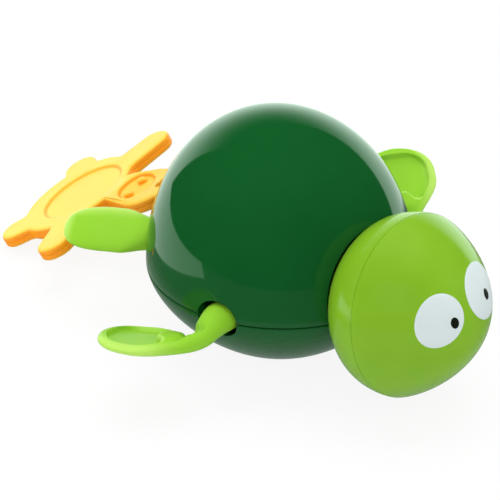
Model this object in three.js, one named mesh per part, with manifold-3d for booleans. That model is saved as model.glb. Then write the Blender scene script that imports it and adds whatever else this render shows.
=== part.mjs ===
// Swimming turtle bath toy with a pull cord: +X to the head, +Y to the toy's left, +Z up.
// The origin is the middle of the flat belly face. All lengths are in millimetres.
import * as THREE from 'three';
import { mergeVertices } from 'three/addons/utils/BufferGeometryUtils.js';
import Module from 'manifold-3d';

const wasm = await Module();
wasm.setup();

// Shell halves
const seamHeight = 27.5;
const seamGap = 0.3;
const shellHalfLength = 41;
const shellHalfWidth = 40.7;
const domeHeight = 47.5;
const apexShift = 2.2;
const bowlDepth = 31.3;
const bowlPower = 1.55;
const shellWall = 1.8;
const shellFacets = { sides: 40, domeRows: 8, bowlRows: 6 };
const innerFacets = { sides: 28, domeRows: 5, bowlRows: 4 };
const weldDepth = 1.2;

// Shell screws and their bosses
const frontBossX = -1;
const frontBossInset = 9.5;
const rearBossX = -16;
const rearBossInset = 12.1;
const bossRadius = 3.4;
const screwRadius = 1.25;
const screwHeadRadius = 2.4;
const screwHeadHeight = 1.6;
const screwGrip = 7;
const screwClearance = 0.3;
const bossSeatDepth = 8;

// Head, turned as round solids about the neck line
const headX = 53.4;
const headRise = 5.95;
const headPitch = 11.5;
const headRoll = 8.9;
const headRadius = 26.85;
const faceDepth = 22.2;
const faceShoulderDepth = 9;
const faceShoulderRadius = 23.5;
const noseFlatRadius = 12.5;
const headBackDepth = 20.25;
const headBackPower = 2.31;
const headWall = 1.8;
const creaseGap = 0.3;
const headSides = 30;
const headInnerSides = 20;
const headRows = 7;
const headInnerRows = 5;
const lipWall = 1.5;
const lipReach = 2.6;
const lipRoot = 3;
const headOpeningGap = 0.7;

// Neck, trapped between two collar ribs in the shell
const neckRadius = 8;
const neckWall = 2;
const neckFlangeRadius = 11;
const neckFlangeThickness = 2;
const collarSetback = 3.2;
const collarThickness = 2.2;
const collarGap = 0.4;
const collarHeight = 17;

// Eyes, measured in the head's own frame
const eyeSide = 9.3;
const eyeRise = 4.5;
const eyeHalfWidth = 6.4;
const eyeHalfHeight = 8.4;
const eyeLean = 7.7;
const eyePocket = 0.9;
const eyeProud = 0.25;
const pupilSide = 7.4;
const pupilRise = 3.4;
const pupilHalfWidth = 1.3;
const pupilHalfHeight = 1.75;
const pupilPocket = 0.3;
const pupilProud = 0.25;
const inlayGap = 0.3;
const inlaySides = 20;

// Front flippers on the axle
const axleX = 12;
const axleRadius = 1.5;
const shaftClearance = 0.3;
const flipperHubRadius = 4.7;
const flipperHoleGap = 1.4;
const flipperHubInside = 6;
const flipperReach = 4.6;
const flipperBendLength = 8.6;
const flipperTipLift = 3.7;
const flipperSag = 0.4;
const flipperArmDrop = 3.5;
const flipperTwist = -12.2;
const flipperNeckRun = 6.2;
const flipperGrowRun = 5.5;
const flipperSweep = 59.8;
const flipperBladeLength = 22.4;
const flipperHalfWidth = 13.1;
const flipperTipRound = 8.5;
const bluntShare = 0.2;
const tipThinning = 0.6;
const tipCrowding = 1.5;
const flipperArmHalfWidth = 3.5;
const flipperThickness = 5.6;
const flipperRim = 2;
const flipperDishDepth = 1.8;
const flipperAxleGrip = 3;
const rightFlipperPhase = 201.4;
const leftFlipperPhase = 161.5;
const flipperRows = 14;
const flipperSides = 12;

// Rear flippers, each turning on its own round stub
const rearRootAngle = 26;
const rearSweepAngle = 34.9;
const rearTilt = 20;
const rearStubRadius = 4;
const rearStubGap = 0.5;
const rearLength = 28.7;
const rearLeafRun = 10;
const rearBow = 0.7;
const rearHalfWidth = 8.9;
const rearRootHalfWidth = 5.7;
const rearTipRound = 14.6;
const rearThickness = 5;
const rearFlangeRadius = 5.8;
const rearFlangeThickness = 1.5;
const rearFlangeInset = 5;
const rearRows = 9;

// Pull tag, a flat turtle whose own axis runs from its nose backwards
const tagNoseGap = 8.7;
const tagNoseRise = 8.3;
const tagYaw = 7.6;
const tagPitch = 23.8;
const tagRoll = 13.3;
const tagThickness = 4.6;
const tagBodyCentre = -44.9;
const tagBodyHalfLength = 19.8;
const tagBodyHalfWidth = 21.5;
const tagHeadCentre = -12.1;
const tagHeadHalfLength = 12.1;
const tagHeadHalfWidth = 10;
const tagNeckHalfWidth = 6.5;
const tagFrontLeg = { rootA: -35.1, rootB: 14, tipA: -31.3, tipB: 28.6, radius: 6.3 };
const tagRearLeg = { rootA: -51.8, rootB: 12.4, tipA: -59.6, tipB: 18.3, radius: 6.1 };
const tagBackCentre = -42;
const tagBackHalfLength = 14.4;
const tagBackHalfWidth = 15.2;
const tagBackDepth = 0.8;
const tagFaceCentre = -14.5;
const tagFaceHalfLength = 8;
const tagFaceHalfWidth = 6.4;
const tagFaceDepth = 1.2;
const tagEyeCentre = -13.3;
const tagEyeSpread = 4.2;
const tagEyeRadius = 1.6;
const tagHoleInset = 4.2;
const tagHoleRadius = 1.8;
const tagSteps = { body: 14, head: 9, eye: 5 };

// Cord
const cordRadius = 0.6;
const cordTurns = 5;
const cordPitch = 1.65;
const cordLoopSides = 5;
const cordLoopSteps = 14;
const cordLift = 4.5;
const knotRadius = 1.7;
const knotSink = 1.8;
const knotSides = 12;
const knotRows = 8;
const loopRoundness = 0.6;
const cordSides = 8;
const cordGap = 0.3;

// Cord bushing in the tail
const bushingHoleGap = 0.35;
const bushingRadius = 2.4;
const bushingFlangeRadius = 3.8;
const bushingFlangeThickness = 1.2;
const bushingInside = 3;

// Gear train on three cross shafts
const gearModule = 0.8;
const pinionTeeth = 10;
const idlerTeeth = 24;
const clutchTeeth = 30;
const gearWidth = 2.4;
const layerGap = 0.4;
const toothRootShare = 0.29;
const toothTipShare = 0.11;
const addendum = 0.8;
const dedendum = 1.15;
const idlerShaftRadius = 1;
const drumX = -14;
const ratchetTeeth = 12;
const ratchetTipRadius = 6;
const ratchetRootRadius = 4.8;
const ratchetWidth = 1.8;
const ratchetUndercut = 0.12;
const pawlPostRadius = 1;
const pawlPostReach = 9;
const pawlArm = 1.1;
const pawlEyeRadius = 2.2;
const pawlLead = 50;

// Drum, spring and gearbox
const drumFlangeRadius = 10.5;
const drumFlange = 1;
const springTurns = 6;
const springStrip = 0.35;
const springWidth = 3.2;
const springInnerRadius = 2.4;
const springOuterRadius = 9.4;
const springSteps = 14;
const barrelRadius = 11.2;
const barrelWall = 0.9;
const boxWall = 1.5;
const boxRun = 0.7;
const boxSplitGap = 0.2;
const boxSides = 16;
const bushWall = 1.3;
const bushLength = 5;
const lugLength = 8;
const lugReach = 6;
const lugThickness = 3;
const lugHeight = 22;
const lugFrontX = 5;
const lugRearX = -20;
const postRadius = 2.6;
const postGap = 0.2;
const roundSides = 14;
const arcSteps = 4;
const cutOverrun = 1;
const weldTolerance = 1e-4;

// Colours
const plastic = (color, roughness) => new THREE.MeshStandardMaterial({ color, roughness, metalness: 0 });
const steel = (color, roughness) => new THREE.MeshStandardMaterial({ color, roughness, metalness: 1 });
const shellGreen = plastic(0x14582a, 0.15);
const headGreen = plastic(0x84b62c, 0.25);
const flipperGreen = plastic(0x93d03c, 0.3);
const tagYellow = plastic(0xfdc84e, 0.4);
const eyeWhite = plastic(0xdde6e4, 0.35);
const pupilBlack = plastic(0x1c1f18, 0.3);
const cordWhite = plastic(0xe8e6dc, 0.8);
const gearWhite = plastic(0xe6e2d2, 0.45);
const boxGrey = plastic(0xb9bcb6, 0.5);
const brass = steel(0xc9a14a, 0.35);
const bareSteel = steel(0xb8bcc0, 0.3);
const springSteel = steel(0x767a82, 0.3);

// Vectors and frames
const vec = (x, y, z) => new THREE.Vector3(x, y, z);
const radians = THREE.MathUtils.degToRad;
const along = (start, direction, distance) => start.clone().addScaledVector(direction, distance);
const unitX = vec(1, 0, 0);
const unitY = vec(0, 1, 0);
const unitZ = vec(0, 0, 1);

// A closed solid from points and triangles, turned so that its faces point out
function closedSolid(points, triangles) {
  const flat = new Float32Array(points.length * 3);
  points.forEach((point, i) => point.toArray(flat, i * 3));
  let volume = 0;
  for (const [a, b, c] of triangles) {
    volume += points[a].dot(points[b].clone().cross(points[c]));
  }
  const turned = volume < 0 ? triangles.map(([a, b, c]) => [a, c, b]) : triangles;
  const mesh = new wasm.Mesh({ numProp: 3, vertProperties: flat, triVerts: new Uint32Array(turned.flat()) });
  return new wasm.Manifold(mesh);
}

// A solid from a three.js geometry whose doubled vertices are merged first
function solid(geometry) {
  geometry.deleteAttribute('normal');
  geometry.deleteAttribute('uv');
  const merged = mergeVertices(geometry, weldTolerance);
  const place = merged.getAttribute('position');
  const points = [];
  for (let i = 0; i < place.count; i += 1) {
    points.push(new THREE.Vector3().fromBufferAttribute(place, i));
  }
  const triangles = [];
  for (let i = 0; i < merged.index.count; i += 3) {
    const [a, b, c] = [0, 1, 2].map((k) => merged.index.getX(i + k));
    if (a !== b && b !== c && a !== c) {
      triangles.push([a, b, c]);
    }
  }
  return closedSolid(points, triangles);
}

// Rings of equal length joined into one solid, with a point at each end
function loft(rings, firstTip, lastTip) {
  const count = rings[0].length;
  const points = rings.flat();
  const triangles = [];
  for (let row = 0; row + 1 < rings.length; row += 1) {
    for (let k = 0; k < count; k += 1) {
      const next = (k + 1) % count;
      const low = row * count;
      const high = low + count;
      triangles.push([low + k, low + next, high + next]);
      triangles.push([low + k, high + next, high + k]);
    }
  }
  const first = points.push(firstTip) - 1;
  const last = points.push(lastTip) - 1;
  const top = (rings.length - 1) * count;
  for (let k = 0; k < count; k += 1) {
    const next = (k + 1) % count;
    triangles.push([first, next, k]);
    triangles.push([last, top + k, top + next]);
  }
  return closedSolid(points, triangles);
}

const middle = (ring) => ring.reduce((sum, p) => sum.add(p), vec(0, 0, 0)).divideScalar(ring.length);

// A round bar between two points
function bar(radius, start, end, sides = roundSides) {
  const length = start.distanceTo(end);
  const geometry = new THREE.CylinderGeometry(radius, radius, length, sides);
  const direction = end.clone().sub(start).normalize();
  geometry.applyQuaternion(new THREE.Quaternion().setFromUnitVectors(unitY, direction));
  const centre = start.clone().add(end).multiplyScalar(0.5);
  geometry.translate(centre.x, centre.y, centre.z);
  return solid(geometry);
}

// A cross bar along Y at a place in the XZ plane
const crossBar = (radius, at, from, to, sides) =>
  bar(radius, vec(at.x, from, at.y), vec(at.x, to, at.y), sides);

// A box given by its middle and its size
function block(centre, size, matrix) {
  const geometry = new THREE.BoxGeometry(size.x, size.y, size.z);
  geometry.translate(centre.x, centre.y, centre.z);
  if (matrix) {
    geometry.applyMatrix4(matrix);
  }
  return solid(geometry);
}

// A profile of (along X, radius) points turned about the X axis of a frame
function turned(profile, matrix, sides) {
  const geometry = new THREE.LatheGeometry(profile.map(([x, r]) => new THREE.Vector2(r, x)), sides);
  geometry.rotateZ(-Math.PI / 2);
  geometry.applyMatrix4(matrix);
  return solid(geometry);
}

// A flat shape given a thickness, placed by a frame
function plate(shape, depth, matrix) {
  const geometry = new THREE.ExtrudeGeometry(shape, { depth, bevelEnabled: false, curveSegments: arcSteps });
  geometry.applyMatrix4(matrix);
  return solid(geometry);
}

// A flat shape in the XZ plane, with its thickness from one Y to another
function crossPlate(shape, from, to) {
  const frame = new THREE.Matrix4().makeBasis(unitX, unitZ, vec(0, -1, 0));
  frame.setPosition(0, to, 0);
  return plate(shape, to - from, frame);
}

const group = new THREE.Group();
const headGroup = new THREE.Group();
const tagGroup = new THREE.Group();
group.add(headGroup, tagGroup);

function addPart(name, body, material, holder = group) {
  const mesh = body.getMesh();
  const geometry = new THREE.BufferGeometry();
  geometry.setAttribute('position', new THREE.BufferAttribute(new Float32Array(mesh.vertProperties), 3));
  geometry.setIndex(new THREE.BufferAttribute(new Uint32Array(mesh.triVerts), 1));
  geometry.computeVertexNormals();
  const part = new THREE.Mesh(geometry, material);
  part.name = name;
  holder.add(part);
}

// Shell forms: the upper dome leans back towards its top, the lower bowl ends in the flat belly
function shellRing(share, height, inset, lean, sides) {
  const ring = [];
  for (let k = 0; k < sides; k += 1) {
    const turn = (k / sides) * 2 * Math.PI;
    const x = (shellHalfLength - inset) * share * Math.cos(turn) - lean;
    ring.push(vec(x, (shellHalfWidth - inset) * share * Math.sin(turn), height));
  }
  return ring;
}

function domeSolid(inset, base, facets) {
  const height = domeHeight - inset;
  const rings = [shellRing(1, base, inset, 0, facets.sides)];
  for (let row = 1; row < facets.domeRows; row += 1) {
    const rise = (row / facets.domeRows) * Math.PI * 0.5;
    const lean = apexShift * Math.sin(rise) ** 2;
    rings.push(shellRing(Math.cos(rise), seamHeight + height * Math.sin(rise), inset, lean, facets.sides));
  }
  return loft(rings, vec(0, 0, base), vec(-apexShift, 0, seamHeight + height));
}

function bowlSolid(inset, top, facets) {
  const depth = bowlDepth - inset;
  const floorShare = (seamHeight - inset) / depth;
  const lastTurn = Math.asin(floorShare ** (bowlPower / 2));
  const rings = [shellRing(1, top, inset, 0, facets.sides)];
  for (let row = 1; row <= facets.bowlRows; row += 1) {
    const turn = (row / facets.bowlRows) * lastTurn;
    const drop = depth * Math.sin(turn) ** (2 / bowlPower);
    const share = Math.cos(turn) ** (2 / bowlPower);
    rings.push(shellRing(share, seamHeight - drop, inset, 0, facets.sides));
  }
  return loft(rings, vec(0, 0, top), vec(0, 0, inset));
}

const upperEdge = seamHeight + seamGap / 2;
const lowerEdge = seamHeight - seamGap / 2;
const shellSide = shellHalfWidth * Math.sqrt(1 - (axleX / shellHalfLength) ** 2);
const weldDome = domeSolid(shellWall - weldDepth, upperEdge, innerFacets);
const weldBowl = bowlSolid(shellWall - weldDepth, lowerEdge, innerFacets);
let upperShell = domeSolid(0, upperEdge, shellFacets)
  .subtract(domeSolid(shellWall, upperEdge - shellWall, innerFacets));
let lowerShell = bowlSolid(0, lowerEdge, shellFacets)
  .subtract(bowlSolid(shellWall, lowerEdge + shellWall, innerFacets));

// Head frame: its X axis is the neck line, which rises towards the face
const headFrame = new THREE.Matrix4().makeTranslation(headX, 0, seamHeight + headRise);
headFrame.multiply(new THREE.Matrix4().makeRotationY(-radians(headPitch)));
const eyeFrame = new THREE.Matrix4().makeRotationX(radians(headRoll));
const ownFrame = new THREE.Matrix4();
headGroup.applyMatrix4(headFrame);

// Face profile, from the crease round the shoulder to the nose, grown or shrunk by an offset
function faceProfile(offset, start, rows) {
  const curve = new THREE.CubicBezierCurve(
    new THREE.Vector2(0, headRadius + offset),
    new THREE.Vector2(faceShoulderDepth, faceShoulderRadius + offset),
    new THREE.Vector2(faceDepth + offset, noseFlatRadius),
    new THREE.Vector2(faceDepth + offset, 0),
  );
  const profile = curve.getPoints(rows).map((p) => [Math.max(p.x, start), p.y]);
  profile[rows][1] = 0;
  return [[start, 0], ...(start < 0 ? [[start, headRadius + offset]] : []), ...profile];
}

function backProfile(offset, front, rows) {
  const profile = [[front, 0], [front, headRadius + offset]];
  for (let row = 0; row <= rows; row += 1) {
    const turn = (row / rows) * Math.PI * 0.5;
    const x = -(headBackDepth + offset) * Math.sin(turn) ** (2 / headBackPower);
    const r = (headRadius + offset) * Math.cos(turn) ** (2 / headBackPower);
    profile.push([x, row === rows ? 0 : r]);
  }
  return profile;
}

const faceSolid = (offset, start = 0) => turned(faceProfile(offset, start, headRows), ownFrame, headSides);
const tubeProfile = (radius, from, to) => [[from, 0], [from, radius], [to, radius], [to, 0]];
const headTube = (radius, from, to) => turned(tubeProfile(radius, from, to), ownFrame, headSides);
const neckTube = (radius, from, to) => turned(tubeProfile(radius, from, to), ownFrame, headInnerSides);
const faceHollow = turned(faceProfile(-headWall, -headWall, headInnerRows), ownFrame, headInnerSides);
const backHollow = turned(backProfile(-headWall, 2 * creaseGap, headInnerRows), ownFrame, headInnerSides);
const creaseHalf = creaseGap / 2;
const headBlock = headTube(2 * headRadius, creaseHalf, 2 * headRadius);
const backBlock = headTube(2 * headRadius, -2 * headRadius, -creaseHalf);

// Eye inlays: upright ovals set into shallow pockets of the face
function ovalBar(side, rise, halfWidth, halfHeight, lean) {
  const shape = new THREE.Shape();
  shape.absellipse(0, 0, halfWidth, halfHeight, 0, 2 * Math.PI, false, radians(lean));
  const points = shape.getPoints(inlaySides / 2);
  const outline = new THREE.Shape(points.slice(0, -1));
  const frame = new THREE.Matrix4().makeBasis(unitY, unitZ, unitX);
  frame.setPosition(0, side, rise);
  return plate(outline, 2 * faceDepth, eyeFrame.clone().multiply(frame));
}

let headFace = faceSolid(0).intersect(headBlock).subtract(faceHollow);
const eyeTop = faceSolid(eyeProud);
const eyeFloor = faceSolid(-eyePocket, -headWall);
const eyeSeat = faceSolid(-eyePocket + inlayGap, -headWall);
const pupilTop = faceSolid(eyeProud + pupilProud);
const pupilFloor = faceSolid(eyeProud - pupilPocket - inlayGap, -headWall);
const pupilSeat = faceSolid(eyeProud - pupilPocket, -headWall);
for (const [name, hand] of [['left', 1], ['right', -1]]) {
  const eye = (grow) =>
    ovalBar(hand * eyeSide, eyeRise, eyeHalfWidth + grow, eyeHalfHeight + grow, hand * eyeLean);
  const pupil = (grow) =>
    ovalBar(hand * pupilSide, pupilRise, pupilHalfWidth + grow, pupilHalfHeight + grow, 0);
  headFace = headFace.subtract(eye(inlayGap).subtract(eyeFloor));
  const white = eye(0).intersect(eyeTop).subtract(eyeSeat);
  const holed = white.subtract(pupil(inlayGap).subtract(pupilFloor));
  addPart(`eye_white_${name}`, holed, eyeWhite, headGroup);
  addPart(`pupil_${name}`, pupil(0).intersect(pupilTop).subtract(pupilSeat), pupilBlack, headGroup);
}
addPart('head_face', headFace, headGreen, headGroup);

// Head back with its inner lip, the neck tube and the flange behind the collar
const collarFront = -headBackDepth - collarSetback;
const collarBack = collarFront - collarThickness;
const flangeFront = collarBack - collarGap;
const flangeBack = flangeFront - neckFlangeThickness;
const faceTaper = (headRadius - faceShoulderRadius) / faceShoulderDepth;
const facetSag = Math.cos(Math.PI / headInnerSides);
const lipRadius = (headRadius - headWall - lipReach * faceTaper) * facetSag - inlayGap;
const lipRing = neckTube(lipRadius, -lipRoot, lipReach)
  .add(headTube(headRadius - headWall / 2, -lipRoot, -creaseGap))
  .subtract(neckTube(lipRadius - lipWall, -2 * lipRoot, 2 * lipReach));
const headBack = turned(backProfile(0, 2 * creaseGap, headRows), ownFrame, headSides)
  .intersect(backBlock)
  .subtract(backHollow)
  .add(lipRing)
  .add(neckTube(neckRadius, flangeBack, -headBackDepth + headWall))
  .add(neckTube(neckFlangeRadius, flangeBack, flangeFront))
  .subtract(neckTube(neckRadius - neckWall, 2 * flangeBack, 0));
addPart('head_back', headBack, headGreen, headGroup);

// Front opening and neck collar of the shell
const headOpening = turned(backProfile(headOpeningGap, headRadius, headRows), headFrame, headSides);
upperShell = upperShell.subtract(headOpening);
lowerShell = lowerShell.subtract(headOpening);
const collarSize = vec(collarThickness, 2 * shellHalfWidth, 2 * collarHeight);
const collar = block(vec((collarFront + collarBack) / 2, 0, 0), collarSize, headFrame)
  .subtract(turned(tubeProfile(neckRadius + collarGap, 2 * collarBack, 0), headFrame, headInnerSides));
upperShell = upperShell.add(collar.intersect(weldDome));
lowerShell = lowerShell.add(collar.intersect(weldBowl));

// Screw bosses joining the two halves from below
const screwBore = screwRadius + screwClearance;
const bossPlaces = [
  ['front', frontBossX, shellHalfWidth - frontBossInset],
  ['rear', rearBossX, shellHalfWidth - rearBossInset],
];
for (const [end, x, y] of bossPlaces) {
  for (const [name, hand] of [['left', 1], ['right', -1]]) {
    const at = (z) => vec(x, hand * y, z);
    const top = seamHeight + domeHeight;
    const seat = lowerEdge - bossSeatDepth;
    upperShell = upperShell
      .add(bar(bossRadius, at(upperEdge), at(top)).intersect(weldDome))
      .subtract(bar(screwBore, at(upperEdge - cutOverrun), at(upperEdge + screwGrip + cutOverrun)));
    lowerShell = lowerShell
      .add(bar(bossRadius, at(0), at(lowerEdge)).intersect(weldBowl))
      .subtract(bar(screwBore, at(0), at(lowerEdge + cutOverrun)))
      .subtract(bar(screwHeadRadius + screwClearance, at(-cutOverrun), at(seat)));
    const head = bar(screwHeadRadius, at(seat - screwHeadHeight - postGap), at(seat - postGap));
    const shank = bar(screwRadius, at(seat - postGap - screwHeadHeight / 2), at(upperEdge + screwGrip));
    addPart(`shell_screw_${end}_${name}`, head.add(shank), bareSteel);
  }
}

// Round holes on the seam for the front flipper hubs
const axle = new THREE.Vector2(axleX, seamHeight);
const pastShell = shellHalfWidth + cutOverrun;
const hubHole = crossBar(flipperHubRadius + flipperHoleGap, axle, -pastShell, pastShell);
const hubHoleInside = crossBar(2 * flipperHubRadius, axle, -shellSide / 2, shellSide / 2);
const hubHoles = hubHole.subtract(hubHoleInside);
upperShell = upperShell.subtract(hubHoles);
lowerShell = lowerShell.subtract(hubHoles);

const blend = (first, share, second, otherShare) =>
  first.clone().multiplyScalar(share).addScaledVector(second, otherShare);

// A flipper is lofted in its own frame: out from its root, sweep across, and face of the dish
function flipper(base, out, sweep, face, rows, sectionAt) {
  const rings = [];
  for (let row = 0; row <= rows; row += 1) {
    const section = sectionAt(row / rows);
    const centre = base.clone().addScaledVector(out, section.out).addScaledVector(sweep, section.sweep);
    centre.addScaledVector(face, section.lift);
    const level = blend(out, -Math.sin(section.turn), sweep, Math.cos(section.turn));
    const side = blend(level, Math.cos(section.twist), face, Math.sin(section.twist));
    const upward = blend(face, Math.cos(section.twist), level, -Math.sin(section.twist));
    const ring = [];
    for (let k = 0; k < flipperSides; k += 1) {
      const turn = (k / flipperSides) * 2 * Math.PI;
      const point = along(centre, side, section.halfWidth * Math.cos(turn));
      ring.push(point.addScaledVector(upward, section.halfThickness * Math.sin(turn)));
    }
    rings.push(ring);
  }
  return loft(rings, middle(rings[0]), middle(rings[rows]));
}

const smooth = (from, to, value) => THREE.MathUtils.smoothstep(value, from, to);
const mix = THREE.MathUtils.lerp;

// Centre line of a front flipper: straight through the shell, a bend, then the swept blade
const sweepTurn = radians(flipperSweep);
const rootLength = flipperHubInside + flipperReach;
const bendRound = flipperBendLength / sweepTurn;
const bladeStart = rootLength + flipperBendLength;
const flipperLength = bladeStart + flipperBladeLength;

// The round hub turns into the flat arm about the end of the straight root
const neckShare = (distance) => smooth(rootLength - flipperNeckRun, rootLength + flipperNeckRun, distance);

function flipperLine(distance) {
  const bend = THREE.MathUtils.clamp((distance - rootLength) / flipperBendLength, 0, 1) * sweepTurn;
  const past = Math.max(distance - bladeStart, 0);
  const straight = Math.min(distance, rootLength) - flipperHubInside;
  const bladeShare = Math.max(distance - rootLength, 0) / (flipperLength - rootLength);
  const drop = flipperArmDrop * neckShare(distance) * (1 - bladeShare);
  return {
    out: straight + bendRound * Math.sin(bend) + past * Math.cos(sweepTurn),
    sweep: bendRound * (1 - Math.cos(bend)) + past * Math.sin(sweepTurn),
    turn: bend,
    lift: flipperTipLift * bladeShare ** 2 - flipperSag * Math.sin(Math.PI * bladeShare) - drop,
    twist: radians(flipperTwist) * bladeShare,
  };
}

// A round end: full width up to its start, then a quarter ellipse down to the blunt tip
function roundEnd(distance, length, round) {
  const past = THREE.MathUtils.clamp((distance - length + round) / round, 0, 1);
  return Math.sqrt(Math.max(1 - past ** 2, bluntShare ** 2));
}

function bladeHalfWidth(distance) {
  const grow = smooth(bladeStart - flipperGrowRun, flipperLength - flipperTipRound - flipperRim, distance);
  const tip = roundEnd(distance, flipperLength, flipperTipRound);
  return mix(flipperArmHalfWidth, flipperHalfWidth, grow) * tip;
}

// Rings lie closer together towards the tip
const towardsTip = (share) => 1 - (1 - share) ** tipCrowding;

function frontSection(share) {
  const distance = towardsTip(share) * flipperLength;
  const tip = mix(1, roundEnd(distance, flipperLength, flipperThickness), tipThinning);
  return {
    ...flipperLine(distance),
    halfWidth: mix(flipperHubRadius, bladeHalfWidth(distance), neckShare(distance)),
    halfThickness: mix(flipperHubRadius, flipperThickness / 2, neckShare(distance)) * tip,
  };
}

function dishSection(share) {
  const distance = mix(bladeStart, flipperLength - flipperRim, towardsTip(share));
  const line = flipperLine(distance);
  const tip = roundEnd(distance, flipperLength - flipperRim, flipperTipRound - flipperRim);
  const deep = smooth(bladeStart - flipperRim, bladeStart + flipperTipRound, distance);
  const dishWidth = mix(flipperArmHalfWidth, flipperHalfWidth, deep) - flipperRim;
  return {
    ...line,
    lift: line.lift + flipperThickness / 2,
    halfWidth: dishWidth * tip,
    halfThickness: flipperDishDepth * deep * tip,
  };
}

const axleEnd = shellSide + flipperAxleGrip;
for (const [name, hand, phase] of [['left', 1, leftFlipperPhase], ['right', -1, rightFlipperPhase]]) {
  const angle = radians(phase);
  const base = vec(axleX, hand * shellSide, seamHeight);
  const out = vec(0, hand, 0);
  const sweep = vec(Math.cos(angle), 0, Math.sin(angle));
  const face = vec(Math.sin(angle), 0, -Math.cos(angle));
  const bore = bar(
    axleRadius + shaftClearance,
    along(base, out, -flipperHubInside - cutOverrun),
    along(base, out, flipperAxleGrip + shaftClearance),
  );
  const blade = flipper(base, out, sweep, face, flipperRows, frontSection);
  const dish = flipper(base, out, sweep, face, flipperRows, dishSection);
  addPart(`front_flipper_${name}`, blade.subtract(dish).subtract(bore), flipperGreen);
}

// Rear flippers: a leaf on a round stub with a flange behind the shell wall
function rearSection(share) {
  const distance = towardsTip(share) * rearLength;
  const leaf = smooth(0, rearLeafRun, distance);
  const tip = roundEnd(distance, rearLength, rearTipRound);
  return {
    out: distance,
    sweep: 0,
    turn: 0,
    lift: rearBow * Math.sin((Math.PI * distance) / rearLength),
    twist: 0,
    halfWidth: mix(rearRootHalfWidth, rearHalfWidth, leaf) * tip,
    halfThickness: mix(rearStubRadius, rearThickness / 2, leaf) * mix(1, tip, tipThinning),
  };
}

const rearRoots = {};
for (const [name, hand] of [['left', 1], ['right', -1]]) {
  const spread = radians(rearRootAngle);
  const root = vec(-shellHalfLength * Math.cos(spread), hand * shellHalfWidth * Math.sin(spread), seamHeight);
  const angle = radians(rearSweepAngle);
  const out = vec(-Math.cos(angle), hand * Math.sin(angle), 0);
  const level = vec(Math.sin(angle), hand * Math.cos(angle), 0);
  const tilt = radians(rearTilt);
  const side = level.clone().multiplyScalar(Math.cos(tilt)).addScaledVector(unitZ, -Math.sin(tilt));
  const face = level.clone().multiplyScalar(Math.sin(tilt)).addScaledVector(unitZ, Math.cos(tilt));
  rearRoots[name] = root;
  const flangeEnd = -rearFlangeInset - rearFlangeThickness;
  const holeRadius = rearStubRadius + rearStubGap;
  const hole = bar(holeRadius, along(root, out, 2 * flangeEnd), along(root, out, -2 * flangeEnd));
  upperShell = upperShell.subtract(hole);
  lowerShell = lowerShell.subtract(hole);
  const stubEnd = rearStubGap + rearLength / rearRows;
  const leaf = flipper(along(root, out, rearStubGap), out, side, face, rearRows, rearSection)
    .add(bar(rearStubRadius, along(root, out, flangeEnd), along(root, out, stubEnd)))
    .add(bar(rearFlangeRadius, along(root, out, flangeEnd), along(root, out, -rearFlangeInset)));
  addPart(`rear_flipper_${name}`, leaf, flipperGreen);
}

// Gear train layout in the XZ plane, seen along the cross shafts
const pitchRadius = (teeth) => (gearModule * teeth) / 2;
const axleToIdler = pitchRadius(pinionTeeth) + pitchRadius(idlerTeeth);
const idlerToDrum = pitchRadius(pinionTeeth) + pitchRadius(clutchTeeth);
const cordHeight = seamHeight + cordLift;
const windRadius = pitchRadius(2 * pinionTeeth);
const drum = new THREE.Vector2(drumX, cordHeight - windRadius);
const drumToAxle = axle.clone().sub(drum);
const span = drumToAxle.length();
const foot = (idlerToDrum ** 2 - axleToIdler ** 2 + span ** 2) / (2 * span);
const rise = Math.sqrt(idlerToDrum ** 2 - foot ** 2);
const idler = drum.clone().addScaledVector(drumToAxle, foot / span);
idler.add(new THREE.Vector2(-drumToAxle.y, drumToAxle.x).multiplyScalar(rise / span));

// Layers along the shafts, from the right-hand wall of the gearbox to the left
const drumGroove = cordTurns * cordPitch + 2 * (cordRadius + cordGap);
const grooveFrom = -cordRadius - cordGap;
const grooveTo = grooveFrom + drumGroove;
const drumFrom = grooveFrom - drumFlange;
const drumTo = grooveTo + drumFlange;
const ratchetFrom = drumFrom - ratchetWidth;
const clutchTo = ratchetFrom - layerGap;
const clutchFrom = clutchTo - gearWidth;
const wheelTo = clutchFrom - layerGap;
const wheelFrom = wheelTo - gearWidth;
const rightInner = wheelFrom - boxRun;
const barrelFrom = drumTo + layerGap;
const springFrom = barrelFrom + barrelWall + layerGap;
const springTo = springFrom + springWidth;
const leftInner = springTo + layerGap;
const rightOuter = rightInner - boxWall;
const leftOuter = leftInner + boxWall;

// Trapezoid teeth round a gear, the first one centred on a given angle
function gearShape(teeth, centre, first, boreRadius) {
  const tip = pitchRadius(teeth) + addendum * gearModule;
  const root = pitchRadius(teeth) - dedendum * gearModule;
  const step = (2 * Math.PI) / teeth;
  const shape = new THREE.Shape();
  const corners = [
    [-toothRootShare, root],
    [-toothTipShare, tip],
    [toothTipShare, tip],
    [toothRootShare, root],
  ];
  const points = [];
  for (let tooth = 0; tooth < teeth; tooth += 1) {
    for (const [shift, radius] of corners) {
      const angle = first + (tooth + shift) * step;
      const spoke = new THREE.Vector2(Math.cos(angle), Math.sin(angle));
      points.push(centre.clone().addScaledVector(spoke, radius));
    }
  }
  shape.setFromPoints(points);
  const bore = new THREE.Path();
  bore.absarc(centre.x, centre.y, boreRadius, 0, 2 * Math.PI, true);
  shape.holes.push(new THREE.Path(bore.getPoints(roundSides / 2).slice(0, -1)));
  return shape;
}

const heading = (from, to) => Math.atan2(to.y - from.y, to.x - from.x);
const halfTooth = (teeth) => Math.PI / teeth;
const axleBore = axleRadius + shaftClearance;
const idlerBore = idlerShaftRadius + shaftClearance;
const toIdler = heading(axle, idler);
const idlerToClutch = heading(idler, drum);

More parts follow.
